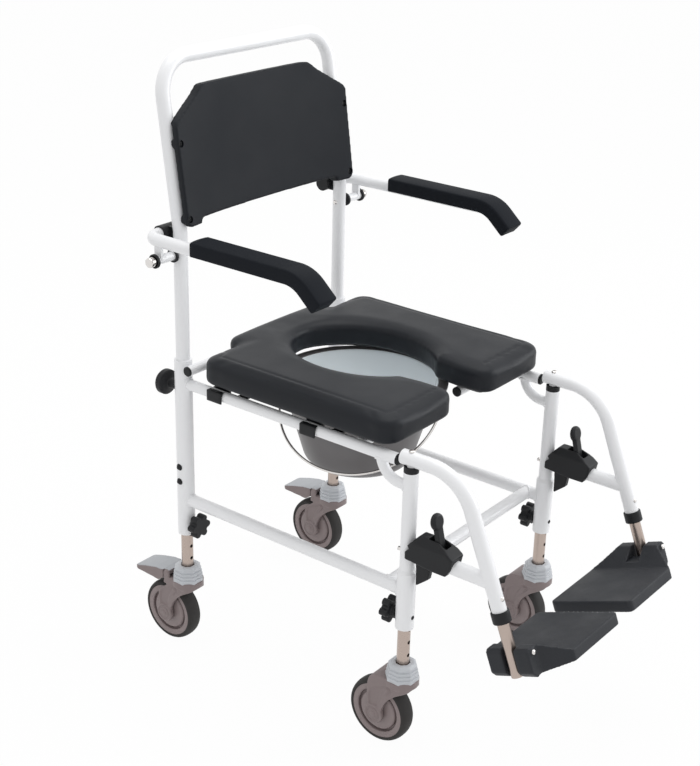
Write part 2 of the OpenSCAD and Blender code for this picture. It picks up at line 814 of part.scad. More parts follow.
// Knob with a dished round head, its stud towards +Z
module round_knob() {
    cylinder(d = back_knob_neck_d, h = back_knob_neck);
    translate([0, 0, back_knob_neck]) {
        cylinder(d1 = back_knob_neck_d, d2 = back_knob_d, h = back_knob_t / 4);
        translate([0, 0, back_knob_t / 4]) cylinder(d = back_knob_d, h = back_knob_t / 2);
        translate([0, 0, back_knob_t * 3 / 4])
            cylinder(d1 = back_knob_d, d2 = back_knob_d * 0.8, h = back_knob_t / 4);
    }
    translate([0, 0, -post_r + tube_r + pass]) cylinder(d = stud_d, h = post_r - tube_r);
}

module back_knob(left) {
    color(black) on_side(left) translate([-half_span, half_base + post_r + pass / 2, back_knob_z]) along_y()
        round_knob();
}

module right_back_knob() { back_knob(false); }
module left_back_knob() { back_knob(true); }

// Knob with lobes round its rim, its stud reaching to the leg
module star_shape() {
    reach = knob_d / 2 - knob_lobe_d / 2;
    cylinder(d = knob_boss_d, h = knob_boss_t);
    translate([0, 0, knob_boss_t]) {
        cylinder(r = reach, h = knob_t);
        for (i = [0:knob_lobes - 1]) rotate([0, 0, 360 * i / knob_lobes]) translate([reach, 0, 0])
            cylinder(d = knob_lobe_d, h = knob_t);
    }
    translate([0, 0, leg_d / 2 + pass - post_r]) cylinder(d = stud_d, h = post_r - leg_d / 2);
}

module star_knob(left, front) {
    color(black) on_side(left)
        translate([-half_span, (front ? -1 : 1) * (half_base - post_r - pass / 2), knob_z])
        rotate([front ? -90 : 90, 0, 0]) star_shape();
}

module front_right_star_knob() { star_knob(false, true); }
module front_left_star_knob() { star_knob(true, true); }
module rear_right_star_knob() { star_knob(false, false); }
module rear_left_star_knob() { star_knob(true, false); }

module leg(left, front) {
    color(silver) on_side(left) translate([-half_span, (front ? -1 : 1) * half_base, leg_foot_z])
        difference() {
        pipe(leg_d, leg_d - 2 * tube_wall, post_foot_z + leg_insert - leg_foot_z);
        for (i = [1:leg_holes]) translate([0, 0, knob_z - leg_foot_z + (i - leg_holes + 2) * leg_hole_pitch])
            rotate([90, 0, 0]) cylinder(d = leg_hole_d, h = leg_d + cut, center = true);
    }
}

module front_right_leg() { leg(false, true); }
module front_left_leg() { leg(true, true); }
module rear_right_leg() { leg(false, false); }
module rear_left_leg() { leg(true, false); }

// Place of a castor's swivel axis
module at_castor(left, front) {
    on_side(left) translate([-half_span, (front ? -1 : 1) * half_base, 0]) children();
}

// Side view of the fork: from the collar, sweeping back and down to the axle
fork_shares = [[-0.66, 1.17], [-0.66, 1.07], [-0.2, 1.01], [0.33, 0.89], [0.56, 0.73], [0.64, 0.5],
    [0.78, 0.3], [1, 0.25], [1.24, 0.31], [1.37, 0.5], [1.4, 0.76], [1.24, 0.96], [0.9, 1.1], [0.45, 1.17]];

module fork_outline() {
    polygon(smooth([for (s = fork_shares) [s[0] * trail,
        wheel_r + (s[1] - 0.5) * (fork_top_z - wheel_r) / 0.67]], 4));
}

module fork(left, front) {
    color(grey) at_castor(left, front) {
        difference() {
            union() {
                translate([-fork_half_w, 0, 0]) side_plane() linear_extrude(2 * fork_half_w) fork_outline();
                translate([0, 0, fork_top_z - collar_step])
                    cylinder(r = collar_r, h = collar_step + collar_in);
                translate([0, 0, fork_top_z])
                    cylinder(r = collar_r - collar_in, h = collar_step + collar_in, $fn = 8);
                translate([0, 0, fork_top_z]) cylinder(r = collar_r - 2 * collar_in, h = collar_h, $fn = 8);
                if (!front) for (x = [-fork_half_w, fork_half_w - pedal_ear_t])
                    translate([x, pedal_pin_y, fork_top_z + pedal_pin_rise]) along_x()
                        cylinder(r = pedal_ear_r, h = pedal_ear_t);
                if (!front) for (x = [-fork_half_w, fork_half_w - pedal_ear_t])
                    translate([x, pedal_pin_y - pedal_ear_r, fork_top_z - 2 * pedal_ear_r])
                        cube([pedal_ear_t, 2 * pedal_ear_r, 2 * pedal_ear_r + pedal_pin_rise]);
            }
            translate([-tyre_w / 2 - fork_gap, trail, wheel_r]) along_x()
                cylinder(r = wheel_r + fork_clear, h = tyre_w + 2 * fork_gap);
            translate([-fork_half_w - cut, trail, wheel_r]) along_x()
                cylinder(d = axle_d + 2 * fit, h = 2 * (fork_half_w + cut));
            translate([0, 0, leg_foot_z - pass])
                cylinder(d = leg_d + 2 * fit, h = collar_top_z - leg_foot_z + pass + cut);
            if (!front) translate([-fork_half_w - cut, pedal_pin_y, fork_top_z + pedal_pin_rise]) along_x()
                cylinder(d = pedal_pin_d + 2 * fit, h = 2 * (fork_half_w + cut));
        }
        translate([-fork_half_w, trail, wheel_r]) along_x() cylinder(d = axle_d, h = 2 * fork_half_w);
        for (turn = [0, 1]) mirror([turn, 0, 0]) translate([-fork_half_w - axle_head_t, trail, wheel_r])
            along_x()
            cylinder(d1 = axle_head_d - axle_head_t, d2 = axle_head_d, h = axle_head_t);
    }
}

module front_right_fork() { fork(false, true); }
module front_left_fork() { fork(true, true); }
module rear_right_fork() { fork(false, false); }
module rear_left_fork() { fork(true, false); }

// Half section of a wheel's hub, with a ring groove between its disc and its rim
function hub_profile() = let (w = tyre_w / 2 - hub_bead, disc_r = rim_r * hub_disc_r_share) [
    [axle_d / 2 + fit, -tyre_w / 2], [hub_boss_r, -tyre_w / 2], [hub_boss_r + hub_bead, -w], [disc_r, -w],
    [disc_r + hub_bead, -w + hub_bead], [disc_r + hub_bead, hub_recess - w],
    [disc_r + hub_bead + hub_gap, hub_recess - w], [disc_r + hub_bead + hub_gap, -w], [rim_r, -w]];

module wheel_hub(left, front) {
    half = hub_profile();
    color(grey) at_castor(left, front) translate([0, trail, wheel_r]) along_x() rotate_extrude()
        polygon(concat(half, [for (i = [len(half) - 1:-1:0]) [half[i][0], -half[i][1]]]));
}

module front_right_hub() { wheel_hub(false, true); }
module front_left_hub() { wheel_hub(true, true); }
module rear_right_hub() { wheel_hub(false, false); }
module rear_left_hub() { wheel_hub(true, false); }

module tyre(left, front) {
    w = tyre_w / 2;
    color(rubber) at_castor(left, front) translate([0, trail, wheel_r]) along_x() rotate_extrude()
        polygon(concat([[rim_r, w], [rim_r, -w]], arc([wheel_r - tyre_round, tyre_round - w], tyre_round, -90,
            0, 6),
            arc([wheel_r - tyre_round, w - tyre_round], tyre_round, 0, 90, 6)));
}

module front_right_tyre() { tyre(false, true); }
module front_left_tyre() { tyre(true, true); }
module rear_right_tyre() { tyre(false, false); }
module rear_left_tyre() { tyre(true, false); }

// Foot brake: a broad wedge behind the collar, on a pin between the fork's ears
module brake_pedal(left) {
    pin_z = fork_top_z + pedal_pin_rise;
    tip_z = fork_top_z - pedal_tip_drop;
    side = [[collar_r + pass, pin_z + pedal_root], [collar_r + pass, pin_z - pedal_root / 2],
        [pedal_pin_y + 2 * pedal_root, pin_z - 2 * pedal_root], [pedal_tip_y, tip_z - pedal_tip_t],
        [pedal_tip_y, tip_z], [pedal_top_y, fork_top_z + pedal_top_rise]];
    color(grey) at_castor(left, false) {
        translate([-pedal_half_w, 0, 0]) side_plane() linear_extrude(2 * pedal_half_w) polygon(side);
        translate([-fork_half_w, pedal_pin_y, pin_z]) along_x()
            cylinder(d = pedal_pin_d, h = 2 * fork_half_w);
    }
}

module right_brake_pedal() { brake_pedal(false); }
module left_brake_pedal() { brake_pedal(true); }

// Side path of the armrest: level, then drooping at the nose
nose_arc_y = pad_rear_y - pad_len;
nose_end = [nose_arc_y - pad_bend_r * sin(nose_droop), arm_z - pad_bend_r + pad_bend_r * cos(nose_droop)];
nose_straight = nose_len - pad_bend_r * nose_droop * PI / 180;

module arm_path(d, over) {
    level_y = pivot_y - arm_bend_r;
    translate([-arm_x, nose_arc_y - lap, arm_z]) along_y()
        cylinder(d = d, h = level_y - nose_arc_y + 2 * lap);
    translate([-arm_x, 0, 0]) side_plane() {
        translate([nose_arc_y, arm_z - pad_bend_r]) bend(d, pad_bend_r, 90, 90 + nose_droop);
        translate(nose_end) rotate([0, 0, nose_droop]) rotate([0, -90, 0]) translate([0, 0, -lap])
            cylinder(d = d, h = nose_straight - nose_tube_short + lap + over);
    }
    translate([arm_bend_r - arm_x, level_y, arm_z]) bend(d, arm_bend_r, 90, 180);
    translate([arm_bend_r - arm_x - lap, pivot_y, arm_z]) along_x()
        cylinder(d = d, h = arm_x - arm_bend_r - half_span + arm_sleeve_in + pass + lap + over);
}

module armrest_tube(left) {
    lock_z = arm_z - lock_drop;
    lock_outer = arm_x + lock_d / 2;
    lock_inner = half_span + lock_in;
    color(white) on_side(left) {
        difference() {
            arm_path(arm_d, 0);
            arm_path(arm_d - 2 * tube_wall, cut);
        }
        difference() {
            union() {
                translate([-lock_outer, half_base, lock_z]) along_x()
                    cylinder(d = lock_d, h = lock_outer - lock_inner);
                translate([-arm_x - lock_web_t / 2, half_base - lock_d / 2, lock_z])
                    cube([lock_web_t, lock_d, lock_drop]);
            }
            translate([-lock_outer - cut, half_base, lock_z]) along_x()
                cylinder(d = pin_d + 2 * fit, h = lock_outer);
            translate([-arm_x, -half_base, arm_z]) along_y() cylinder(d = arm_d, h = 2 * post_base);
            translate([arm_bend_r - arm_x, pivot_y - arm_bend_r, arm_z]) bend(arm_d, arm_bend_r, 90, 180);
        }
    }
}

module right_armrest_tube() { armrest_tube(false); }
module left_armrest_tube() { armrest_tube(true); }

// Section of the pad, across x and up: crowned top, rolled edges and a groove over the tube
function pad_shell(shrink) = let (
    w = pad_w / 2 - shrink, top = pad_t - pad_sink - shrink, r = pad_end_r, half = concat(
        [[pad_groove_r, pad_lip - pad_sink]], arc([w - r / 2, r / 2 - pad_sink], r / 2, -90, 0, 3),
        arc([w - r, top - r - pad_crown], r, 0, 75, 4), [[w / 2, top - pad_crown / 4]]))
    concat(half, [[0, top]], reversed(mirrored(half)));
function pad_section(shrink) = concat(pad_shell(shrink), arc([0, 0], pad_groove_r, 180, 0, 8));

// Stations along the pad: place in the side plane, slope and shrink of the section
function pad_stations() = concat(
    [[pad_rear_y, arm_z, 0, pad_end_r / 3], [pad_rear_y - pad_end_r / 2, arm_z, 0, 0]],
    [for (i = [1:3]) [pad_rear_y - pad_len * i / 4, arm_z, 0, 0]],
    [for (i = [0:5]) let (a = nose_droop * i / 5)
        [nose_arc_y - pad_bend_r * sin(a), arm_z - pad_bend_r + pad_bend_r * cos(a), a, 0]],
    [for (s = [[nose_straight - pad_end_r / 2, 0], [nose_straight, pad_end_r / 3]])
        [nose_end[0] - s[0] * cos(nose_droop), nose_end[1] - s[0] * sin(nose_droop), nose_droop, s[1]]]);

module armrest_pad(left) {
    rings = [for (s = pad_stations()) [for (p = pad_section(s[3]))
        [p[0], s[0] - p[1] * sin(s[2]), s[1] + p[1] * cos(s[2])]]];
    color(black) on_side(left) translate([-arm_x, 0, 0]) loft(rings, len(pad_shell(0)));
}

module right_armrest_pad() { armrest_pad(false); }
module left_armrest_pad() { armrest_pad(true); }

module armrest_bushes(left) {
    lock_outer = arm_x + lock_d / 2;
    lock_inner = half_span + lock_in;
    color(black) on_side(left) {
        translate([arm_sleeve_in + pass - half_span, pivot_y, arm_z]) along_x()
            cylinder(d = sleeve_d, h = cap_t);
        for (x = [-lock_outer - lock_bush_t, -lock_inner]) translate([x, half_base, arm_z - lock_drop])
            along_x()
            pipe(lock_bush_d, pin_d + 2 * fit, x < -arm_x ? lock_bush_t : lock_bush_t / 2);
    }
}

module right_armrest_bushes() { armrest_bushes(false); }
module left_armrest_bushes() { armrest_bushes(true); }

// Spring plunger that locks a lowered armrest to its post
module lock_plunger(left) {
    outer = arm_x + lock_d / 2 + lock_bush_t;
    color(silver) on_side(left) translate([-outer, half_base, arm_z - lock_drop]) {
        along_x() cylinder(d = pin_d, h = outer - half_span - pass - max(tube_r, panel_side));
        rotate([0, -90, 0]) translate([0, 0, pass]) cylinder(d = pin_knob_d, h = pin_knob_t);
        rotate([0, -90, 0]) cylinder(d = pin_d, h = pin_knob_t);
    }
}

module right_lock_plunger() { lock_plunger(false); }
module left_lock_plunger() { lock_plunger(true); }

// Frame of the sloping lower part of a hanger: z runs down the tube from the end of its bend
module down_hanger() {
    translate([-half_span, drop_y, drop_z]) rotate([180 - hanger_lean, 0, 0]) children();
}

module hanger_path(d, over) {
    level = half_base + hanger_level;
    translate([-half_span, -level - lap, hanger_z]) along_y()
        cylinder(d = d, h = hanger_level + hanger_rear + lap + over);
    translate([-half_span, 0, 0]) side_plane() translate([-level, hanger_z - hanger_r])
        bend(d, hanger_r, 90, 90 + hanger_arc);
    down_hanger() translate([0, 0, -lap]) cylinder(d = d, h = hanger_drop + lap + over);
}

module hanger(left) {
    color(white) on_side(left) {
        difference() {
            hanger_path(tube_d, 0);
            hanger_path(hanger_bore_d, cut);
        }
        at_front_post() translate([0, 0, front_post_top - bush_in])
            cylinder(d = bush_pin_d, h = hanger_z - front_post_top + bush_in);
        difference() {
            translate([-half_span, link_y, link_z]) along_y()
                pipe(tube_d, hanger_bore_d, -half_base - latch_front + latch_socket - link_y);
            down_hanger() cylinder(d = (tube_d + hanger_bore_d) / 2, h = hanger_drop);
        }
    }
}

module right_hanger() { hanger(false); }
module left_hanger() { hanger(true); }

latch_stud_z = link_z - latch_ring_drop + latch_ring_h + latch_stud_d / 2 + 3 * pass;

// Side view of the latch housing, in shares of its length in front of the post and of the lever's rise
latch_shares = [[0.18, -0.75], [0.17, 0.35], [0.3, 1.1], [0.42, 1.3], [0.72, 0.95], [0.86, 0.75], [1, 0.35],
    [0.97, -0.5], [0.88, -0.72]];

module latch_housing(left) {
    color(black) on_side(left) {
        translate([0, -half_base, link_z]) difference() {
            union() {
                translate([-half_span - latch_half_w, 0, 0]) side_plane() linear_extrude(2 * latch_half_w)
                    polygon([for (s = latch_shares) [-s[0] * latch_front, s[1] * lever_pin_rise]]);
                translate([-half_span, 0, -latch_ring_drop]) cylinder(r = latch_ring_r, h = latch_ring_h);
                translate([-half_span - latch_tab_w / 2, -latch_ring_r - latch_tab_w, -latch_tab_drop])
                    cube([latch_tab_w, latch_tab_w + latch_tab_in, latch_tab_drop]);
            }
            translate([-half_span, 0, -latch_tab_drop - cut])
                cylinder(r = tube_r + pass, h = 4 * latch_tab_drop);
            translate([-half_span - latch_open / 2, 0, -latch_tab_drop])
                cube([latch_open, latch_ring_r + cut, latch_tab_drop]);
            translate([-half_span, -latch_front - cut, 0]) along_y()
                cylinder(d = tube_d, h = latch_socket + cut);
            translate([-half_span - lever_slot / 2, -lever_back - lever_neck_w, 0])
                cube([lever_slot, 3 * lever_neck_w, 2 * lever_pin_rise]);
            translate([-half_span - latch_half_w - cut, -lever_back, lever_pin_rise / 2]) along_x()
                cylinder(d = axle_d + 2 * fit, h = 2 * (latch_half_w + cut));
        }
        down_hanger() translate([0, 0, hanger_drop - clamp_over]) difference() {
            cylinder(d = collar_d, h = clamp_h);
            translate([0, 0, -cut]) cylinder(d = tube_d, h = clamp_over + cut);
            cylinder(d = hanger_bore_d, h = clamp_h + cut);
        }
    }
}

module right_latch_housing() { latch_housing(false); }
module left_latch_housing() { latch_housing(true); }

// Release lever: a flat blade with a round thumb pad
module latch_lever(left) {
    color(black) on_side(left) translate([-half_span, -half_base - lever_back, link_z + lever_pin_rise / 2]) {
        translate([-latch_half_w, 0, 0]) along_x() cylinder(d = axle_d, h = 2 * latch_half_w);
        rotate([-lever_tilt, 0, 0]) {
            translate([-lever_t / 2, 0, 0]) along_x() cylinder(d = lever_neck_w, h = lever_t);
            translate([-lever_t / 2, -lever_neck_w / 2, 0])
                cube([lever_t, lever_neck_w, lever_h - lever_head_d / 2]);
            translate([-lever_t / 2, 0, lever_h - lever_head_d / 2]) along_x()
                cylinder(d = lever_head_d, h = lever_t);
        }
    }
}

module right_latch_lever() { latch_lever(false); }
module left_latch_lever() { latch_lever(true); }

module extension(left) {
    color(silver) on_side(left) down_hanger() difference() {
        translate([0, 0, hanger_drop - ext_in])
            pipe(ext_d, ext_d - 2 * tube_wall, ext_in + ext_out + ext_tail);
        translate([0, 0, plate_pivot]) rotate([90, 0, 0])
            cylinder(d = bolt_d + 2 * fit, h = ext_d + cut, center = true);
    }
}

module right_extension() { extension(false); }
module left_extension() { extension(true); }

// Frame of a footplate: x inwards from the pivot, y to the front, z up along the hanger
module at_plate() {
    translate([-half_span, plate_y, plate_z]) rotate([-hanger_lean, 0, 0]) mirror([0, 1, 0]) children();
}

module footplate(left) {
    low = -tread_drop - tread_t;
    lug_low = -ext_tail;
    half_len = plate_len / 2;
    r = plate_edge_r;
    side = [[-lug_out, lug_low + r], [r - lug_out, lug_low], [ramp_start, low], [plate_reach, low],
        [plate_reach, -tread_drop],
        [ramp_start, -tread_drop], [lug_out, lug_up], [r / 2 - lug_out, lug_up], [-lug_out, lug_up - r / 2]];
    plan = concat([[-lug_out, -lug_len / 2], [lug_out, -lug_len / 2], [ramp_start, -half_len]],
        arc([plate_reach - r, r - half_len], r, -90, 0, 5), arc([plate_reach - r, half_len - r], r, 0, 90, 5),
        [[ramp_start, half_len], [lug_out, lug_len / 2], [-lug_out, lug_len / 2]]);
    tube_way = ext_d / 2 + 2 * pass;
    color(black) on_side(left) at_plate() {
        difference() {
            intersection() {
                translate([0, half_len, 0]) rotate([90, 0, 0]) linear_extrude(plate_len) polygon(side);
                translate([0, 0, -plate_len]) linear_extrude(2 * plate_len) polygon(plan);
            }
            translate([-lug_out - cut, -lug_slot, low - plate_len])
                cube([lug_out + cut + tube_way, 2 * lug_slot, 2 * plate_len]);
            translate([0, -lug_slot, -tube_way]) cube([ramp_start, 2 * lug_slot, plate_len]);
            rotate([90, 0, 0]) cylinder(d = bolt_d + 2 * fit, h = plate_len, center = true);
        }
        rotate([90, 0, 0]) cylinder(d = bolt_d, h = lug_len, center = true);
        for (turn = [0, 180]) rotate([0, 0, turn]) translate([0, -lug_len / 2, 0]) rotate([90, 0, 0])
            cylinder(d1 = bolt_head_d, d2 = bolt_d, h = bolt_head_t);
    }
}

module right_footplate() { footplate(false); }
module left_footplate() { footplate(true); }

rear_posts();
front_posts();
seat_rails();
rail_gussets();
lower_rails();
cross_tubes();
push_bar();
backrest_panel();
backrest_screws();
tube_plugs();
post_bushes();
frame_bolts();
armrest_sleeves();
pan_runners();
seat_cushion();
seat_base();
commode_pan();
pan_handle();
right_back_knob();
left_back_knob();
front_right_star_knob();
front_left_star_knob();
rear_right_star_knob();
rear_left_star_knob();
front_right_leg();
front_left_leg();
rear_right_leg();
rear_left_leg();
front_right_fork();
front_left_fork();
rear_right_fork();
rear_left_fork();
front_right_hub();
front_left_hub();
rear_right_hub();
rear_left_hub();
front_right_tyre();
front_left_tyre();
rear_right_tyre();
rear_left_tyre();
right_brake_pedal();
left_brake_pedal();
right_armrest_tube();
left_armrest_tube();
right_armrest_pad();
left_armrest_pad();
right_armrest_bushes();
left_armrest_bushes();
right_lock_plunger();
left_lock_plunger();
right_hanger();
left_hanger();
right_latch_housing();
left_latch_housing();
right_latch_lever();
left_latch_lever();
right_extension();
left_extension();
right_footplate();
left_footplate();
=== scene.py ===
"""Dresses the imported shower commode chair: finishes, soft parts, fasteners and a plain pale stage."""

import math

import bmesh
import bpy
from mathutils import Matrix, Vector
from mathutils.kdtree import KDTree


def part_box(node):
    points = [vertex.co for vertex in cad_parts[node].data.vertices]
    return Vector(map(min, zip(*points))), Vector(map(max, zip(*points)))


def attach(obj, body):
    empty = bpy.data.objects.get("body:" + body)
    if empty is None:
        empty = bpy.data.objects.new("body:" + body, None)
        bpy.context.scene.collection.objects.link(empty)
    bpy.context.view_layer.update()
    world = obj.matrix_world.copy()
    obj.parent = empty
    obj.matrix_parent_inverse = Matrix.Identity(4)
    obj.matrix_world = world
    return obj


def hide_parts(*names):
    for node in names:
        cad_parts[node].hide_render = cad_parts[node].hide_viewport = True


bl_info = {
    "name": "Shower Commode Chair",
    "version": (1, 0, 0),
    "blender": (4, 5, 0),
    "location": "3D View > Sidebar > Chair",
    "description": "Dresses the chair's frame with its finishes, cushions and fasteners",
    "category": "Add Mesh",
}

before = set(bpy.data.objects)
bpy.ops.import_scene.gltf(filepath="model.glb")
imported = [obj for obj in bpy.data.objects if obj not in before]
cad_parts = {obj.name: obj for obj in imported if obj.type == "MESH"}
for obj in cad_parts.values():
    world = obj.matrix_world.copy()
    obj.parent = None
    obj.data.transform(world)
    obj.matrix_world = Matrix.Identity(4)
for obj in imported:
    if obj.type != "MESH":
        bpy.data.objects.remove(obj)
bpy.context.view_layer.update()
MM = 0.001
SIDES = ("right", "left")
CORNERS = ("front_right", "front_left", "rear_right", "rear_left")


def middle(node, axis):
    low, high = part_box(node)
    return (low[axis] + high[axis]) / 2


HALF_SPAN = middle("rear_left_leg", 0) / MM
REAR_Y = middle("rear_left_leg", 1)
FRONT_Y = middle("front_left_leg", 1)
MID_Y = (REAR_Y + FRONT_Y) / 2
HALF_BASE = (REAR_Y - FRONT_Y) / 2 / MM


def place(x, y, z):
    """A point of the chair in metres, from millimetres measured from the middle of the wheel base."""
    return Vector((x * MM, MID_Y + y * MM, z * MM))


def sign(side):
    return -1 if side.endswith("right") else 1


# Sizes and colours that a user would change


class ChairSeatSettings(bpy.types.PropertyGroup):
    voxel: bpy.props.FloatProperty(
        name="Voxel",
        description="Grain of the cushion's mesh before it swells",
        default=0.0048, min=0.003, max=0.008, unit="LENGTH",
    )
    pressure: bpy.props.FloatProperty(
        name="Pressure",
        description="Push of the foam against its skin",
        default=4.0, min=0.0, max=12.0,
    )
    swell: bpy.props.FloatProperty(
        name="Swell",
        description="Furthest that a point of the skin may move",
        default=0.0022, min=0.0, max=0.02, unit="LENGTH",
    )
    crease: bpy.props.FloatProperty(
        name="Crease",
        description="Depth of the moulded line inside the cushion's edge",
        default=0.0011, min=0.0, max=0.004, unit="LENGTH",
    )


class ChairFinishSettings(bpy.types.PropertyGroup):
    paint: bpy.props.FloatVectorProperty(
        name="Paint",
        description="Powder coat of the tubes",
        subtype="COLOR", size=3, min=0, max=1, default=(0.885, 0.89, 0.905),
    )
    foam: bpy.props.FloatVectorProperty(
        name="Foam skin",
        description="Skin of the seat, the back and the arm pads",
        subtype="COLOR", size=3, min=0, max=1, default=(0.0090, 0.0108, 0.0145),
    )
    plastic: bpy.props.FloatVectorProperty(
        name="Black plastic",
        description="Knobs, housings, plugs and footplates",
        subtype="COLOR", size=3, min=0, max=1, default=(0.0115, 0.0122, 0.0138),
    )
    castor: bpy.props.FloatVectorProperty(
        name="Castor grey",
        description="Forks and hubs of the castors",
        subtype="COLOR", size=3, min=0, max=1, default=(0.236, 0.190, 0.188),
    )
    # Collar grey: paler than the fork's grey, partly the collars' own colour and partly painted light from
    # above. The pedals' tops take it darkened, as painted light.
    collar: bpy.props.FloatVectorProperty(
        name="Collar grey",
        description="Collars and pedals of the castors",
        subtype="COLOR", size=3, min=0, max=1, default=(0.55, 0.57, 0.60),
    )


class ChairMouldSettings(bpy.types.PropertyGroup):
    panel_voxel: bpy.props.FloatProperty(
        name="Backrest voxel",
        description="Grain that rounds the backrest's edges",
        default=0.0022, min=0.0015, max=0.004, unit="LENGTH",
    )
    plate_voxel: bpy.props.FloatProperty(
        name="Footplate voxel",
        description="Grain that rounds the footplates' edges",
        default=0.0018, min=0.0012, max=0.004, unit="LENGTH",
    )
    small_voxel: bpy.props.FloatProperty(
        name="Small part voxel",
        description="Grain that rounds the edges of forks, pedals and housings",
        default=0.0012, min=0.0008, max=0.003, unit="LENGTH",
    )
    weld: bpy.props.FloatProperty(
        name="Weld bead",
        description="Radius of the weld beads under the paint",
        default=0.0022, min=0.0, max=0.004, unit="LENGTH",
    )


# Shader groups and finishes


def add_node(tree, kind, sockets=None, **values):
    """A new node with its properties, and values for its unlinked sockets."""
    node = tree.nodes.new(kind)
    for name, value in values.items():
        setattr(node, name, value)
    fill(node, sockets or {})
    return node


def fill(node, sockets):
    for socket, value in sockets.items():
        node.inputs[socket].default_value = value


def wire(tree, *links):
    """Joins (node, output, node, input) sockets."""
    for start, output, end, given in links:
        tree.links.new(start.outputs[output], end.inputs[given])


def grain_group():
    """Moulded or sprayed surface: a fine height, and slow clouds that vary colour and gloss."""
    tree = bpy.data.node_groups.get("surface_grain")
    if tree:
        return tree
    tree = bpy.data.node_groups.new("surface_grain", "ShaderNodeTree")
    for label in ("Grain Scale", "Pebble", "Cloud Scale"):
        tree.interface.new_socket(label, in_out="INPUT", socket_type="NodeSocketFloat")
    for label in ("Height", "Clouds"):
        tree.interface.new_socket(label, in_out="OUTPUT", socket_type="NodeSocketFloat")
    given = add_node(tree, "NodeGroupInput")
    out = add_node(tree, "NodeGroupOutput")
    where = add_node(tree, "ShaderNodeTexCoord")
    fine = add_node(tree, "ShaderNodeTexNoise", {"Detail": 3.0})
    pebble = add_node(tree, "ShaderNodeTexVoronoi", feature="SMOOTH_F1")
    clouds = add_node(tree, "ShaderNodeTexNoise", {"Detail": 4.0})
    blend = add_node(tree, "ShaderNodeMix", data_type="FLOAT")
    wire(
        tree,
        (where, "Object", fine, "Vector"),
        (where, "Object", pebble, "Vector"),
        (where, "Object", clouds, "Vector"),
        (given, "Grain Scale", fine, "Scale"),
        (given, "Grain Scale", pebble, "Scale"),
        (given, "Cloud Scale", clouds, "Scale"),
        (given, "Pebble", blend, "Factor"),
        (fine, "Fac", blend, "A"),
        (pebble, "Distance", blend, "B"),
        (blend, "Result", out, "Height"),
        (clouds, "Fac", out, "Clouds"),
    )
    return tree


def tint(colour, factor):
    return tuple(min(1.0, c * factor) for c in colour)


def finish(name, colour, rough, grain, pebble, bump, depth, clouds, spread, gloss, sockets):
    """One finish: its colour and gloss drift with the clouds, and the grain stands in its bump."""
    material = bpy.data.materials.get(name)
    if material:
        return material
    material = bpy.data.materials.new(name)
    material.use_nodes = True
    tree = material.node_tree
    shader = tree.nodes["Principled BSDF"]
    scales = {"Grain Scale": grain, "Pebble": pebble, "Cloud Scale": clouds}
    surface = add_node(tree, "ShaderNodeGroup", scales, node_tree=grain_group())
    dark, light = (*tint(colour, 1 - spread), 1.0), (*tint(colour, 1 + spread), 1.0)
    tone = add_node(tree, "ShaderNodeMix", {"A": dark, "B": light}, data_type="RGBA")
    low, high = max(0.02, rough - gloss), min(1.0, rough + gloss)
    span = {"From Min": 0.3, "From Max": 0.7, "To Min": low, "To Max": high}
    sheen = add_node(tree, "ShaderNodeMapRange", span)
    relief = add_node(tree, "ShaderNodeBump", {"Strength": bump, "Distance": depth})
    wire(
        tree,
        (surface, "Clouds", tone, "Factor"),
        (tone, "Result", shader, "Base Color"),
        (surface, "Clouds", sheen, "Value"),
        (sheen, "Result", shader, "Roughness"),
        (surface, "Height", relief, "Height"),
        (relief, "Normal", shader, "Normal"),
    )
    fill(shader, sockets)
    return material


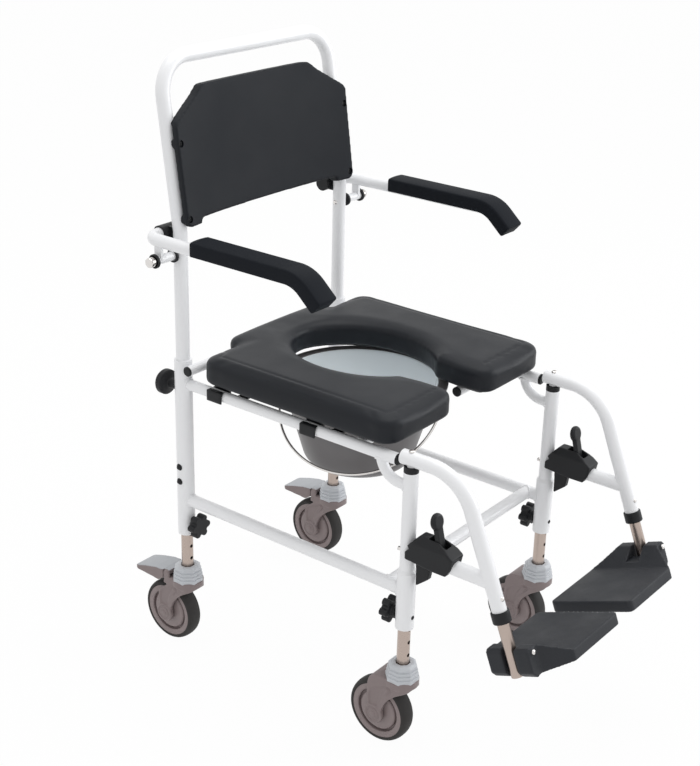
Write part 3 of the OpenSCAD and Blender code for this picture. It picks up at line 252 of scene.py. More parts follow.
def finishes():
    """The chair's finishes by name."""
    s = bpy.context.scene.chair_finish
    plate, tyre = (0.0165, 0.0185, 0.0230), (0.034, 0.032, 0.031)
    # The pan's inside is a near-white pale blue: partly the pan's own colour, partly painted light that
    # brightens the shaded inside.
    pan, pan_colour_and_painted_light = (0.145, 0.138, 0.140), (0.90, 0.95, 0.99)
    plating, steel = (0.47, 0.39, 0.345), (0.62, 0.61, 0.60)
    # The pedal colour is the collar grey darkened. Only the pedal's up-facing faces get it, as painted light
    # from above.
    hub, pedal = tint(s.castor, 1.12), tint(s.collar, 0.74)
    coated = {"Coat Weight": 0.25, "Coat Roughness": 0.12}
    metal = {"Metallic": 1.0}
    # Key, name, colour, roughness, grain scale, pebble, bump, depth, cloud scale, spread, gloss,
    # and the specular level or other sockets
    table = (
        ("paint", "white_powder_coat", s.paint, 0.32, 420, 0.0, 0.05, 0.0004, 5, 0.015, 0.05, coated),
        ("foam", "black_foam_skin", s.foam, 0.44, 700, 0.8, 0.30, 0.0006, 9, 0.14, 0.07, 0.24),
        ("arm", "black_arm_skin", s.foam, 0.66, 900, 0.65, 0.22, 0.0005, 9, 0.10, 0.05, 0.10),
        ("panel", "black_moulded_back", s.foam, 0.62, 1100, 0.8, 0.30, 0.0005, 7, 0.10, 0.05, 0.22),
        ("plastic", "black_moulded_plastic", s.plastic, 0.46, 1300, 0.4, 0.16, 0.0003, 22, 0.10, 0.07, 0.26),
        ("plate", "black_footplate_plastic", plate, 0.58, 700, 0.9, 0.4, 0.0006, 18, 0.22, 0.08, 0.35),
        ("castor", "grey_castor_plastic", s.castor, 0.48, 1500, 0.3, 0.08, 0.0002, 26, 0.05, 0.05, 0.4),
        ("hub", "grey_hub_plastic", hub, 0.40, 1500, 0.3, 0.06, 0.0002, 26, 0.05, 0.05, 0.45),
        # pedal: a paler grey on the pedal's tops only, painted light from above
        ("pedal", "pale_pedal_plastic", pedal, 0.46, 1500, 0.3, 0.08, 0.0002, 26, 0.05, 0.05, 0.4),
        # collar: paler than the fork, partly its own grey and partly painted light from above
        ("collar", "pale_collar_plastic", s.collar, 0.42, 1500, 0.3, 0.08, 0.0002, 26, 0.04, 0.05, 0.4),
        ("tyre", "dark_tyre_rubber", tyre, 0.72, 800, 0.5, 0.22, 0.0004, 30, 0.18, 0.08, 0.3),
        ("leg", "satin_plated_steel", plating, 0.30, 240, 0.0, 0.02, 0.0002, 12, 0.05, 0.05, metal),
        ("steel", "bright_steel", steel, 0.22, 500, 0.0, 0.03, 0.0002, 60, 0.06, 0.06, metal),
        ("pan", "grey_pan_plastic", pan, 0.38, 900, 0.2, 0.05, 0.0003, 8, 0.10, 0.08, 0.45),
        # pan_inside: partly the pan's own colour, partly painted light in the shaded inside
        ("pan_inside", "pale_pan_lining", pan_colour_and_painted_light, 0.30, 900, 0.2, 0.04, 0.0003, 8, 0.04, 0.06, 0.5),
    )
    found = {}
    for key, *row, last in table:
        found[key] = finish(*row, last if isinstance(last, dict) else {"Specular IOR Level": last})
    return found


def dress(nodes, material):
    """Gives CAD nodes that stay in view their finish."""
    for name in nodes:
        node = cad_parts[name]
        if not node.material_slots:
            node.data.materials.append(material)
        for slot in node.material_slots:
            slot.link = "OBJECT"
            slot.material = material


# Mesh tools


def new_object(name, mesh):
    obj = bpy.data.objects.new(name, mesh)
    bpy.context.scene.collection.objects.link(obj)
    return obj


def piece(name, shape, materials, sharp=38.0):
    """Closes a bmesh into a named piece with outward faces and smooth shading up to an angle."""
    bmesh.ops.remove_doubles(shape, verts=shape.verts, dist=1e-6)
    bmesh.ops.recalc_face_normals(shape, faces=shape.faces)
    mesh = bpy.data.meshes.new(name)
    shape.to_mesh(mesh)
    shape.free()
    for material in materials:
        mesh.materials.append(material)
    shade(mesh, sharp)
    return new_object(name, mesh)


def shade(mesh, sharp):
    mesh.polygons.foreach_set("use_smooth", [True] * len(mesh.polygons))
    mesh.set_sharp_from_angle(angle=math.radians(sharp))


def modify(obj, name, kind, **values):
    modifier = obj.modifiers.new(name, kind)
    for key, value in values.items():
        setattr(modifier, key, value)
    return modifier


def bake(obj):
    """Turns the object and its modifiers into a plain mesh."""
    depsgraph = bpy.context.evaluated_depsgraph_get()
    mesh = bpy.data.meshes.new_from_object(obj.evaluated_get(depsgraph))
    old = obj.data
    obj.modifiers.clear()
    obj.data = mesh
    bpy.data.meshes.remove(old)
    return obj


def loft(shape, rings, caps=True):
    """Skin over closed rings of points."""
    rows = [[shape.verts.new(p) for p in ring] for ring in rings]
    count = len(rows[0])
    for low, high in zip(rows, rows[1:]):
        for i in range(count):
            j = (i + 1) % count
            shape.faces.new((low[i], low[j], high[j], high[i]))
    if caps:
        shape.faces.new(rows[0])
        shape.faces.new(rows[-1])


LEAST_RADIUS = 0.02


def lathe_rows(profile, matrix, steps):
    """Rings of points round the matrix's z axis, one for each (radius, height)."""
    rings = []
    for radius, height in profile:
        r = max(radius, LEAST_RADIUS) * MM
        turns = [2 * math.pi * i / steps for i in range(steps)]
        rings.append([matrix @ Vector((r * math.cos(a), r * math.sin(a), height * MM)) for a in turns])
    return rings


def lathe(shape, profile, matrix, steps):
    """Turns (radius, height) points round the matrix's z axis into a closed shell."""
    loft(shape, lathe_rows(profile, matrix, steps))


def arc(centre, radius, start, end, steps):
    """Points on an arc, angles in degrees."""
    points = []
    for i in range(steps + 1):
        a = math.radians(start + (end - start) * i / steps)
        points.append((centre[0] + radius * math.cos(a), centre[1] + radius * math.sin(a)))
    return points


def inset(ring, distance):
    """Moves an anticlockwise ring of flat points inwards."""
    count = len(ring)
    moved = []
    for i in range(count):
        tx = ring[(i + 1) % count][0] - ring[i - 1][0]
        ty = ring[(i + 1) % count][1] - ring[i - 1][1]
        length = math.hypot(tx, ty) or 1.0
        moved.append((ring[i][0] - distance * ty / length, ring[i][1] + distance * tx / length))
    return moved


def facing(origin, axis):
    """A matrix at origin whose z runs along axis."""
    return Matrix.Translation(origin) @ Vector(axis).to_track_quat("Z", "Y").to_matrix().to_4x4()


def copy_of(nodes):
    """The CAD nodes' solids as one merged bmesh."""
    shape = bmesh.new()
    for name in nodes:
        shape.from_mesh(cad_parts[name].data)
    bmesh.ops.remove_doubles(shape, verts=shape.verts, dist=1e-5)
    return shape


def soften(name, nodes, material, voxel, passes):
    """A moulded piece: the CAD solid with every edge rounded by a fine remesh."""
    return mould(piece(name, copy_of(nodes), [material]), material, voxel, passes)


def rounded(ring, steps=4):
    """A closed ring of flat points with a smooth curve through them."""
    count = len(ring)
    points = []
    for i in range(count):
        p = [ring[(i + k - 1) % count] for k in range(4)]
        for step in range(steps):
            t = step / steps
            point = []
            for a, b, c, d in zip(*p):
                bend, twist = 2 * a - 5 * b + 4 * c - d, 3 * b - a - 3 * c + d
                point.append(0.5 * (2 * b + (c - a) * t + bend * t * t + twist * t**3))
            points.append(tuple(point))
    return points


SIDE_VIEW = Matrix(((0, 0, 1, 0), (1, 0, 0, 0), (0, 1, 0, 0), (0, 0, 0, 1)))
FRONT_VIEW = Matrix(((1, 0, 0, 0), (0, 0, -1, 0), (0, 1, 0, 0), (0, 0, 0, 1)))


def prism(shape, ring, matrix, low, high):
    """A closed prism over a flat ring, between two heights on the matrix's z axis."""
    loft(shape, [[matrix @ Vector((u * MM, v * MM, h * MM)) for u, v in ring] for h in (low, high)])


def discard(obj):
    """Removes a helper object with its mesh."""
    mesh = obj.data
    bpy.data.objects.remove(obj)
    bpy.data.meshes.remove(mesh)


def carve(obj, cuts):
    """Cuts a bmesh of closed shells out of a piece."""
    cutter = piece("cutter", cuts, [])
    modify(obj, "Cut", "BOOLEAN", operation="DIFFERENCE", solver="EXACT", use_self=True, object=cutter)
    bake(obj)
    discard(cutter)


def mould(obj, material, voxel, passes, added=None):
    """Fuses a piece's shells and rounds their edges by a fine remesh."""
    if added:
        shell = piece("added", added, [])
        shape = bmesh.new()
        shape.from_mesh(obj.data)
        shape.from_mesh(shell.data)
        shape.to_mesh(obj.data)
        shape.free()
        discard(shell)
    modify(obj, "Round edges", "REMESH", mode="VOXEL", voxel_size=voxel, use_smooth_shade=True)
    modify(obj, "Even skin", "SMOOTH", factor=0.5, iterations=passes)
    bake(obj)
    obj.data.materials.clear()
    obj.data.materials.append(material)
    shade(obj.data, 60)
    return obj


def paint_top_light(mesh, pale):
    """Gives the faces that look up a second, paler finish: painted light from above on the tops."""
    mesh.materials.append(pale)
    for face in mesh.polygons:
        if face.normal.z > 0.45:
            face.material_index = 1


def islands(shape):
    """The separate shells of a bmesh, as lists of vertices."""
    left = set(shape.verts)
    found = []
    while left:
        todo = [left.pop()]
        shell = []
        while todo:
            v = todo.pop()
            shell.append(v)
            for e in v.link_edges:
                w = e.other_vert(v)
                if w in left:
                    left.remove(w)
                    todo.append(w)
        found.append(shell)
    return found


def settle(obj, body, slot_name, *nodes):
    """Joins a finished piece to the body it moves with and hides the solids it stands for."""
    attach(obj, body)
    if nodes:
        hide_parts(*nodes)
    return obj


# Geometry node trees


def tree_with(name, inputs):
    tree = bpy.data.node_groups.new(name, "GeometryNodeTree")
    tree.interface.new_socket("Geometry", in_out="INPUT", socket_type="NodeSocketGeometry")
    for label, kind in inputs:
        tree.interface.new_socket(label, in_out="INPUT", socket_type=kind)
    tree.interface.new_socket("Geometry", in_out="OUTPUT", socket_type="NodeSocketGeometry")
    return tree, add_node(tree, "NodeGroupInput"), add_node(tree, "NodeGroupOutput")


def bead_tree():
    """Sweeps a round bead along the edges of a mesh."""
    tree = bpy.data.node_groups.get("weld_bead")
    if tree:
        return tree
    inputs = [("Bead Radius", "NodeSocketFloat"), ("Finish", "NodeSocketMaterial")]
    tree, given, out = tree_with("weld_bead", inputs)
    path = add_node(tree, "GeometryNodeMeshToCurve")
    ring = add_node(tree, "GeometryNodeCurvePrimitiveCircle", {"Resolution": 8})
    sweep = add_node(tree, "GeometryNodeCurveToMesh")
    smooth = add_node(tree, "GeometryNodeSetShadeSmooth")
    real = add_node(tree, "GeometryNodeRealizeInstances")
    coat = add_node(tree, "GeometryNodeSetMaterial")
    wire(
        tree,
        (given, "Geometry", path, "Mesh"),
        (given, "Bead Radius", ring, "Radius"),
        (path, "Curve", sweep, "Curve"),
        (ring, "Curve", sweep, "Profile Curve"),
        (sweep, "Mesh", smooth, "Geometry"),
        (smooth, "Geometry", real, "Geometry"),
        (real, "Geometry", coat, "Geometry"),
        (given, "Finish", coat, "Material"),
        (coat, "Geometry", out, "Geometry"),
    )
    return tree


def fastener_tree():
    """Sets one fastener on each point, turned to the point's facing."""
    tree = bpy.data.node_groups.get("fastener_set")
    if tree:
        return tree
    inputs = [("Fastener", "NodeSocketObject"), ("Finish", "NodeSocketMaterial")]
    tree, given, out = tree_with("fastener_set", inputs)
    info = add_node(tree, "GeometryNodeObjectInfo")
    way = add_node(tree, "GeometryNodeInputNamedAttribute", {"Name": "facing"}, data_type="FLOAT_VECTOR")
    turn = add_node(tree, "FunctionNodeAlignRotationToVector", axis="Z")
    many = add_node(tree, "GeometryNodeInstanceOnPoints")
    real = add_node(tree, "GeometryNodeRealizeInstances")
    coat = add_node(tree, "GeometryNodeSetMaterial")
    wire(
        tree,
        (given, "Geometry", many, "Points"),
        (given, "Fastener", info, "Object"),
        (info, "Geometry", many, "Instance"),
        (way, "Attribute", turn, "Vector"),
        (turn, "Rotation", many, "Rotation"),
        (many, "Instances", real, "Geometry"),
        (real, "Geometry", coat, "Geometry"),
        (given, "Finish", coat, "Material"),
        (coat, "Geometry", out, "Geometry"),
    )
    return tree


def set_input(modifier, label, value):
    for item in modifier.node_group.interface.items_tree:
        if item.item_type == "SOCKET" and item.in_out == "INPUT" and item.name == label:
            modifier[item.identifier] = value
            return
    raise RuntimeError("no input named " + label)


def run_tree(obj, tree, **inputs):
    modifier = modify(obj, tree.name, "NODES", node_group=tree)
    for label, value in inputs.items():
        set_input(modifier, label.replace("_", " "), value)
    bake(obj)
    return obj


def beads(name, rings, radius, material):
    """Weld beads along closed rings of points."""
    mesh = bpy.data.meshes.new(name)
    points, edges = [], []
    for ring in rings:
        start = len(points)
        points += ring
        edges += [(start + i, start + (i + 1) % len(ring)) for i in range(len(ring))]
    mesh.from_pydata(points, edges, [])
    return run_tree(new_object(name, mesh), bead_tree(), Bead_Radius=radius, Finish=material)


def fasteners(name, template, spots, material):
    """A copy of the template at every (point, direction)."""
    mesh = bpy.data.meshes.new(name)
    mesh.from_pydata([p for p, _ in spots], [], [])
    way = mesh.attributes.new("facing", "FLOAT_VECTOR", "POINT")
    way.data.foreach_set("vector", [c for _, d in spots for c in Vector(d).normalized()])
    obj = run_tree(new_object(name, mesh), fastener_tree(), Fastener=template, Finish=material)
    shade(obj.data, 40)
    discard(template)
    return obj


def screw_head(name, radius, height):
    """A low dome with a cross cut into it, at the origin and facing up."""
    shape = bmesh.new()
    shares = ((0, 0), (1, 0), (1, 0.35), (0.86, 0.75), (0.55, 1), (0, 1))
    lathe(shape, [(radius * r, height * h) for r, h in shares], Matrix.Identity(4), 20)
    head = piece(name, shape, [])
    cuts = bmesh.new()
    for turn in (0, 90):
        w, l = radius * 0.13, radius * 0.55
        cross = Matrix.Rotation(math.radians(turn), 4, "Z")
        prism(cuts, [(-l, -w), (l, -w), (l, w), (-l, w)], cross, height * 0.4, height * 1.5)
    carve(head, cuts)
    return head


def dome_head(name, radius, height):
    """A plain rounded head, at the origin and facing up."""
    shape = bmesh.new()
    crown = [(radius * math.cos(a), height * math.sin(a)) for a in (0.2, 0.5, 0.8, 1.1, 1.35)]
    lathe(shape, [(0, -0.5), (radius, -0.5)] + crown + [(0, height)], Matrix.Identity(4), 20)
    return piece(name, shape, [])


def cope(origin, axis, radius, other, other_axis, other_radius, count=40):
    """Ring where a tube that runs along axis first meets another tube."""
    axis = Vector(axis).normalized()
    other_axis = Vector(other_axis).normalized()
    side = axis.orthogonal().normalized()
    up = axis.cross(side)
    ring = []
    for i in range(count):
        a = 2 * math.pi * i / count
        start = origin + (side * math.cos(a) + up * math.sin(a)) * radius
        gap = start - other
        gap -= other_axis * gap.dot(other_axis)
        step = axis - other_axis * axis.dot(other_axis)
        qa, qb, qc = step.dot(step), 2 * gap.dot(step), gap.dot(gap) - other_radius**2
        root = max(0.0, qb * qb - 4 * qa * qc)
        ring.append(start + axis * ((-qb - math.sqrt(root)) / (2 * qa)))
    return ring


# Tubes of the frame

RAIL_Z, LOW_RAIL_Z = 540.0, 309.0
RAIL_R, LOW_RAIL_R, STUB_R, POST_R, THIN_POST_R = 0.010, 0.0115, 0.009, 0.016, 0.0125
FRONT_BAR_Y, STUB_Y, STUB_IN = 36.0, 109.0, 60.0
GUSSET_Y, GUSSET_R = 20.0, 40.0
ALONG, UP = (0, 1, 0), (0, 0, 1)
PAINTED = ("rear_posts", "front_posts", "seat_rails", "rail_gussets", "lower_rails", "cross_tubes", "push_bar")


class CHAIR_OT_frame(bpy.types.Operator):
    """Paints the welded frame and lays its weld beads"""

    bl_idname = "chair.frame"
    bl_label = "Frame"

    def execute(self, context):
        coat = finishes()
        dress(PAINTED, coat["paint"])
        dress(["tube_plugs", "post_bushes", "pan_runners", "armrest_sleeves"], coat["plastic"])
        rings = []
        for x in (-HALF_SPAN, HALF_SPAN):
            inward = -1 if x > 0 else 1
            outward = (-inward, 0, 0)
            rail, low_rail = place(x, 0, RAIL_Z), place(x, 0, LOW_RAIL_Z)
            rear, front = place(x, HALF_BASE, 0), place(x, -HALF_BASE, 0)
            bar = place(0, FRONT_BAR_Y - HALF_BASE, LOW_RAIL_Z)
            stub = place(x + inward * STUB_IN, STUB_Y - HALF_BASE, RAIL_Z)
            gusset_foot = place(x, GUSSET_Y - HALF_BASE, RAIL_Z - GUSSET_R)
            gusset_top = place(x, GUSSET_Y + GUSSET_R - HALF_BASE, RAIL_Z - GUSSET_R)
            rings += [
                cope(rail, ALONG, RAIL_R, rear, UP, POST_R),
                cope(low_rail, ALONG, LOW_RAIL_R, rear, UP, POST_R),
                cope(low_rail, (0, -1, 0), LOW_RAIL_R, front, UP, POST_R),
                cope(bar, outward, LOW_RAIL_R, low_rail, ALONG, LOW_RAIL_R),
                cope(stub, outward, STUB_R, rail, ALONG, RAIL_R),
                cope(gusset_foot, (0, -1, 0), STUB_R, front, UP, THIN_POST_R),
                cope(gusset_top, UP, STUB_R, rail, ALONG, RAIL_R),
            ]
        welds = beads("frame_welds", rings, context.scene.chair_mould.weld, coat["paint"])
        settle(welds, "frame", "white_paint")
        return {"FINISHED"}


# Backrest


PANEL_HALF, PANEL_HIGH, PANEL_FOOT, PANEL_FRONT, PANEL_HOLLOW = 226.0, 230.0, 1.0, 32.0, 22.0
PANEL_CHORD, PANEL_WALL = 233.0, 9.0
RIM_WALL, RIM_FRONT, RIM_DEPTH = 6.0, 2.0, 20.0
TUBE_X, TUBE_TOP, TUBE_RIM_DEPTH = 188.0, 176.0, 13.0
BACK_FOOT, BACK_LEAN = (0, 250.94, 825.99), 8.3
SCREW_BOSS, BOSS_BACK = [(0, 0), (8.5, 0), (8.5, 14), (0, 14)], -11.0
SCREW_WELL, SCREW_SINK = [(0, -5), (6.2, -5), (6.2, 6), (0, 6)], 0.0052
PANEL_SCREWS = [(side * 218.0, z) for side in (-1, 1) for z in (14.0, 142.0)]


def back_plane():
    """Matrix of the leaning back: x across, y to the rear, z up the tubes."""
    return Matrix.Translation(place(*BACK_FOOT)) @ Matrix.Rotation(math.radians(-BACK_LEAN), 4, "X")


def panel_front(x):
    """Place of the panel's hollow front, in front of the tubes' axes."""
    r = (PANEL_CHORD**2 + PANEL_HOLLOW**2) / (2 * PANEL_HOLLOW)
    return PANEL_HOLLOW - PANEL_FRONT - r + math.sqrt(r * r - x * x)


def panel_half():
    """Right half of the panel's outline, from the middle of its foot to the middle of its top."""
    half = [(179.0 * i / 24, 9.5) for i in range(25)]
    half += arc((179, 4.5), 5, 80, 10, 4) + arc((187.5, 3), 3, 190, 270, 4)
    half += arc((PANEL_HALF - 14, 14), 14, 270, 360, 8)
    half += [(PANEL_HALF, 166 * k + 14 * (1 - k)) for k in (0.25, 0.5, 0.75, 1.0)]
    half += [(PANEL_HALF - 1.5, 172), (PANEL_HALF - 6, 178)]
    half += [(PANEL_HALF - 6 - 76 * k, 178 + 46 * k) for k in (0.2, 0.4, 0.6, 0.8)]
    half += arc((134, PANEL_HIGH - 18), 18, 60, 90, 5)
    half += [(134.0 * (1 - i / 12), PANEL_HIGH) for i in range(1, 13)]
    return half


class CHAIR_OT_backrest(bpy.types.Operator):
    """Moulds the backrest panel as a tray open to the rear and sets its screws"""

    bl_idname = "chair.backrest"
    bl_label = "Backrest"

    def execute(self, context):
        coat = finishes()
        voxel = context.scene.chair_mould.panel_voxel
        back = back_plane()
        half = panel_half()
        shape = bmesh.new()
        self.wall(shape, back, half)
        self.rim(shape, back, half)
        way = back.to_3x3() @ Vector((0, -1, 0))
        for x, z in PANEL_SCREWS:
            boss = back @ (Vector((x, BOSS_BACK, z + PANEL_FOOT)) * MM)
            lathe(shape, SCREW_BOSS, facing(boss, way), 24)
        panel = mould(piece("backrest", shape, []), coat["panel"], voxel, 8)
        cuts = bmesh.new()
        spots = []
        for x, z in PANEL_SCREWS:
            face = back @ (Vector((x, panel_front(x), z + PANEL_FOOT)) * MM)
            lathe(cuts, SCREW_WELL, facing(face, way), 32)
            spots.append((face - way * SCREW_SINK, way))
        carve(panel, cuts)
        shade(panel.data, 60)
        settle(panel, "frame", "soft_black", "backrest_panel")
        screws = fasteners("backrest_screw_heads", screw_head("screw", 5.4, 2.6), spots, coat["plastic"])
        settle(screws, "frame", "black_plastic", "backrest_screws")
        return {"FINISHED"}

    def wall(self, shape, back, half):
        """The curved front wall, one upright slice after another."""
        foot = [p for p in half if p[1] < 15]
        crown = sorted(p for p in half if p[1] > 165)
        rings = []
        for i in range(-60, 61):
            x = PANEL_HALF * math.sin(math.pi / 2 * i / 60) * 0.999
            low, high = self.level(foot, abs(x)), self.level(crown, abs(x))
            up = [(panel_front(x), low + (high - low) * k / 40) for k in range(41)]
            down = [(panel_front(x) + PANEL_WALL, z) for _, z in reversed(up)]
            rings.append([back @ (Vector((x, y, z + PANEL_FOOT)) * MM) for y, z in up + down])
        loft(shape, rings)

    def level(self, chain, x):
        for (x0, z0), (x1, z1) in zip(chain, chain[1:]):
            if min(x0, x1) <= x <= max(x0, x1):
                return z0 + (z1 - z0) * (x - x0) / ((x1 - x0) or 1.0)
        return chain[-1][1]

    def rim(self, shape, back, half):
        """The rim round the tray, shallow where it passes the tubes."""
        outline = half + [(-x, z) for x, z in reversed(half[1:-1])]
        inner = inset(outline, RIM_WALL)
        rows = []
        for ring, deep in ((outline, False), (outline, True), (inner, True), (inner, False), (outline, False)):
            row = []
            for (x, z), (px, pz) in zip(outline, ring):
                depth = TUBE_RIM_DEPTH if abs(x) > TUBE_X and z < TUBE_TOP else RIM_DEPTH
                py = panel_front(px) + (depth if deep else RIM_FRONT)
                row.append(back @ (Vector((px, py, pz + PANEL_FOOT)) * MM))
            rows.append(row)
        loft(shape, rows, caps=False)


# Seat

SEAT_FLOOR, SEAT_THICK = 558.5, 48.0
SEAT_HALF, SEAT_FRONT, SEAT_REAR, SEAT_CORNER = 229.0, 214.0, 198.0, 30.0
HOLE_HALF, HOLE_Y, HOLE_REAR, HOLE_FRONT = 110.0, 20.0, 138.0, 145.0
SLOT_HALF, SLOT_CORNER, NECK_Y = 50.0, 26.0, -105.0
LIP_HALF, LIP_BACK, LIP_R, LIP_STEP_R = 128.0, 32.0, 22.0, 9.0
LIP_TRIM_Y, REAR_CROSS_RISE, REAR_CROSS_R, LIP_GAP = 215.0, 32.0, 9.0, 0.6
HELD_DEPTH, TOP_DEPTH = 7.0, 12.0
CREASE_IN, CREASE_WIDTH, CREASE_X, CREASE_Y = 0.024, 0.0035, 0.19, -0.2
SWELL_FRAMES = 20


def seat_ring():
    """Outline of the cushion, anticlockwise seen from above: round the outside, then round the opening."""
    neck = math.degrees(math.asin((HOLE_Y - NECK_Y) / HOLE_FRONT))
    half = []
    for i in range(1, 19):
        a = math.radians(90 * i / 18)
        half.append((-HOLE_HALF * math.sin(a), HOLE_Y + HOLE_REAR * math.cos(a)))
    for i in range(1, 13):
        a = math.radians(neck * i / 12)
        half.append((-HOLE_HALF * math.cos(a), HOLE_Y - HOLE_FRONT * math.sin(a)))
    neck_w = HOLE_HALF * math.cos(math.radians(neck))
    half += [(-(neck_w + SLOT_HALF) / 2, -126), (-SLOT_HALF, -147), (-SLOT_HALF, -165)]
    slot_x, corner = -SLOT_HALF - SLOT_CORNER, SEAT_CORNER
    half += arc((slot_x, SLOT_CORNER - SEAT_FRONT), SLOT_CORNER, 0, -90, 10)
    half += [(slot_x - (SEAT_HALF + slot_x - corner) * i / 6, -SEAT_FRONT) for i in range(1, 6)]
    half += arc((corner - SEAT_HALF, corner - SEAT_FRONT), corner, 270, 180, 12)
    side = SEAT_FRONT + SEAT_REAR - 2 * corner
    half += [(-SEAT_HALF, corner - SEAT_FRONT + side * i / 24) for i in range(1, 24)]
    half += arc((corner - SEAT_HALF, SEAT_REAR - corner), corner, 180, 90, 12)
    half += arc((-LIP_HALF - LIP_STEP_R, SEAT_REAR + LIP_STEP_R), LIP_STEP_R, 270, 360, 6)
    lip_x, lip_y = LIP_R - LIP_HALF, SEAT_REAR + LIP_BACK
    half += arc((lip_x, lip_y - LIP_R), LIP_R, 180, 90, 8)
    half += [(lip_x - lip_x * i / 6, lip_y) for i in range(1, 6)]
    whole = [(0, HOLE_Y + HOLE_REAR)] + half + [(0, lip_y)] + [(-x, y) for x, y in reversed(half)]
    return list(reversed(whole))


class CHAIR_OT_seat(bpy.types.Operator):
    """Swells the seat cushion and fits its board"""

    bl_idname = "chair.seat"
    bl_label = "Seat"

    def execute(self, context):
        coat = finishes()
        s = context.scene.chair_seat
        ring = seat_ring()
        shape = bmesh.new()
        roll, proud = 14.0, 3.0
        shoulder = SEAT_THICK - roll - 1
        steps = [(1.0, 0.4), (-2.2, 4), (-proud, 9), (-2.0, 20), (-proud, shoulder)]
        for a in (20, 38, 55, 70, 84):
            r = math.radians(a)
            steps.append((roll * (1 - math.cos(r)) - proud, shoulder + (roll - 2.0) * math.sin(r)))
        steps.append((13.0, SEAT_THICK - 0.8))
        loft(shape, [[place(x, y, SEAT_FLOOR + h) for x, y in inset(ring, d)] for d, h in steps])
        cushion = piece("seat_cushion_skin", shape, [coat["foam"]])
        modify(cushion, "Even skin", "REMESH", mode="VOXEL", voxel_size=s.voxel)
        bake(cushion)
        self.trim_rear(cushion.data)
        self.swell(context, cushion, s)
        modify(cushion, "Skin tension", "SMOOTH", factor=0.5, iterations=5)
        modify(cushion, "Finer skin", "SUBSURF", levels=1, render_levels=1)
        bake(cushion)
        self.crease(cushion.data, ring, s.crease)
        if not cushion.data.materials:
            cushion.data.materials.append(coat["foam"])
        shade(cushion.data, 70)
        settle(cushion, "seat", "soft_black", "seat_cushion")
        board = soften("seat_board", ["seat_base"], coat["plastic"], 0.0022, 2)
        settle(board, "seat", "black_plastic", "seat_base")
        return {"FINISHED"}

    def trim_rear(self, mesh):
        """Keeps the rear lip above the cross tube."""
        edge = MID_Y + LIP_TRIM_Y * MM
        floor = (RAIL_Z + REAR_CROSS_RISE + REAR_CROSS_R + LIP_GAP) * MM
        for v in mesh.vertices:
            if v.co.y > edge and v.co.z < floor:
                v.co.z = floor

    def swell(self, context, cushion, s):
        """Blows the skin up a little with cloth pressure, its underside held."""
        before = [v.co.copy() for v in cushion.data.vertices]
        held = cushion.vertex_groups.new(name="held")
        top = (SEAT_FLOOR + HELD_DEPTH) * MM
        held.add([v.index for v in cushion.data.vertices if v.co.z < top], 1.0, "REPLACE")
        cloth = cushion.modifiers.new("Foam", "CLOTH")
        cloth.settings.quality = 5
        cloth.settings.mass = 0.4
        cloth.settings.tension_stiffness = 25
        cloth.settings.compression_stiffness = 25
        cloth.settings.bending_stiffness = 12
        cloth.settings.use_pressure = True
        cloth.settings.uniform_pressure_force = s.pressure
        cloth.settings.vertex_group_mass = "held"
        cloth.settings.effector_weights.gravity = 0
        cloth.collision_settings.use_collision = False
        cloth.point_cache.frame_start = 1
        cloth.point_cache.frame_end = SWELL_FRAMES
        for step in range(1, SWELL_FRAMES + 1):
            context.scene.frame_set(step)
        bake(cushion)
        context.scene.frame_set(1)
        cushion.vertex_groups.clear()
        for v, start in zip(cushion.data.vertices, before):
            move = v.co - start
            if move.length > s.swell:
                v.co = start + move.normalized() * s.swell

    def crease(self, mesh, ring, depth):
        """Presses a moulded line into the top, a little inside the outer edge."""
        tree = KDTree(len(ring))
        for i, (x, y) in enumerate(ring):
            tree.insert(place(x, y, 0), i)
        tree.balance()
        top = (SEAT_FLOOR + SEAT_THICK - TOP_DEPTH) * MM
        for v in mesh.vertices:
            if v.co.z > top:
                near, _, gap = tree.find(Vector((v.co.x, v.co.y, 0)))
                if abs(near.x) > CREASE_X or near.y - MID_Y < CREASE_Y:
                    v.co.z -= depth * math.exp(-(((gap - CREASE_IN) / CREASE_WIDTH) ** 2))


# Pan


class CHAIR_OT_pan(bpy.types.Operator):
    """Gives the pan, rolled rim and all, a grey outside and a near-white inside, the inside partly painted
    light, and finishes the wire handle
    """

    bl_idname = "chair.pan"
    bl_label = "Pan"

    def execute(self, context):
        coat = finishes()
        axis = Vector((middle("commode_pan", 0), middle("commode_pan", 1)))
        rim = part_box("commode_pan")[1][2]
        shape = copy_of(["commode_pan"])
        # Faces inside the pan and on its floor take the near-white finish: partly the pan's own colour, partly
        # painted light in the shaded inside.
        for face in shape.faces:
            out = Vector(face.calc_center_median().xy) - axis
            inward = out.length > 0.002 and face.normal.xy.dot(out.normalized()) < -0.15
            floor = face.normal.z > 0.4 and face.calc_center_median().z < rim - 0.02 and out.length < 0.12
            face.material_index = 1 if inward or floor else 0
        pan = piece("pan_shell", shape, [coat["pan"], coat["pan_inside"]], 40)
        settle(pan, "pan", "pan_plastic", "commode_pan")
        dress(["pan_handle"], coat["steel"])
        return {"FINISHED"}


# Armrests


ARM_X, ARM_Z, LOCK_INNER_X = 270.0, 815.0, 239.0
LOCK_KNOB = [
    (0, 0.4), (7.4, 0.4), (8.6, 1.2), (8.6, 3.6), (6.8, 4.4), (6.8, 6), (8.8, 6.8), (8.8, 9.6), (7.8, 12),
    (5.2, 13.8), (0, 14.5),
]
LOCK_COLLAR = [(8.2, -5.4), (11.2, -5.4), (12.4, -4.2), (12.4, -0.8), (11.6, 0), (8.2, 0), (8.2, -5.4)]


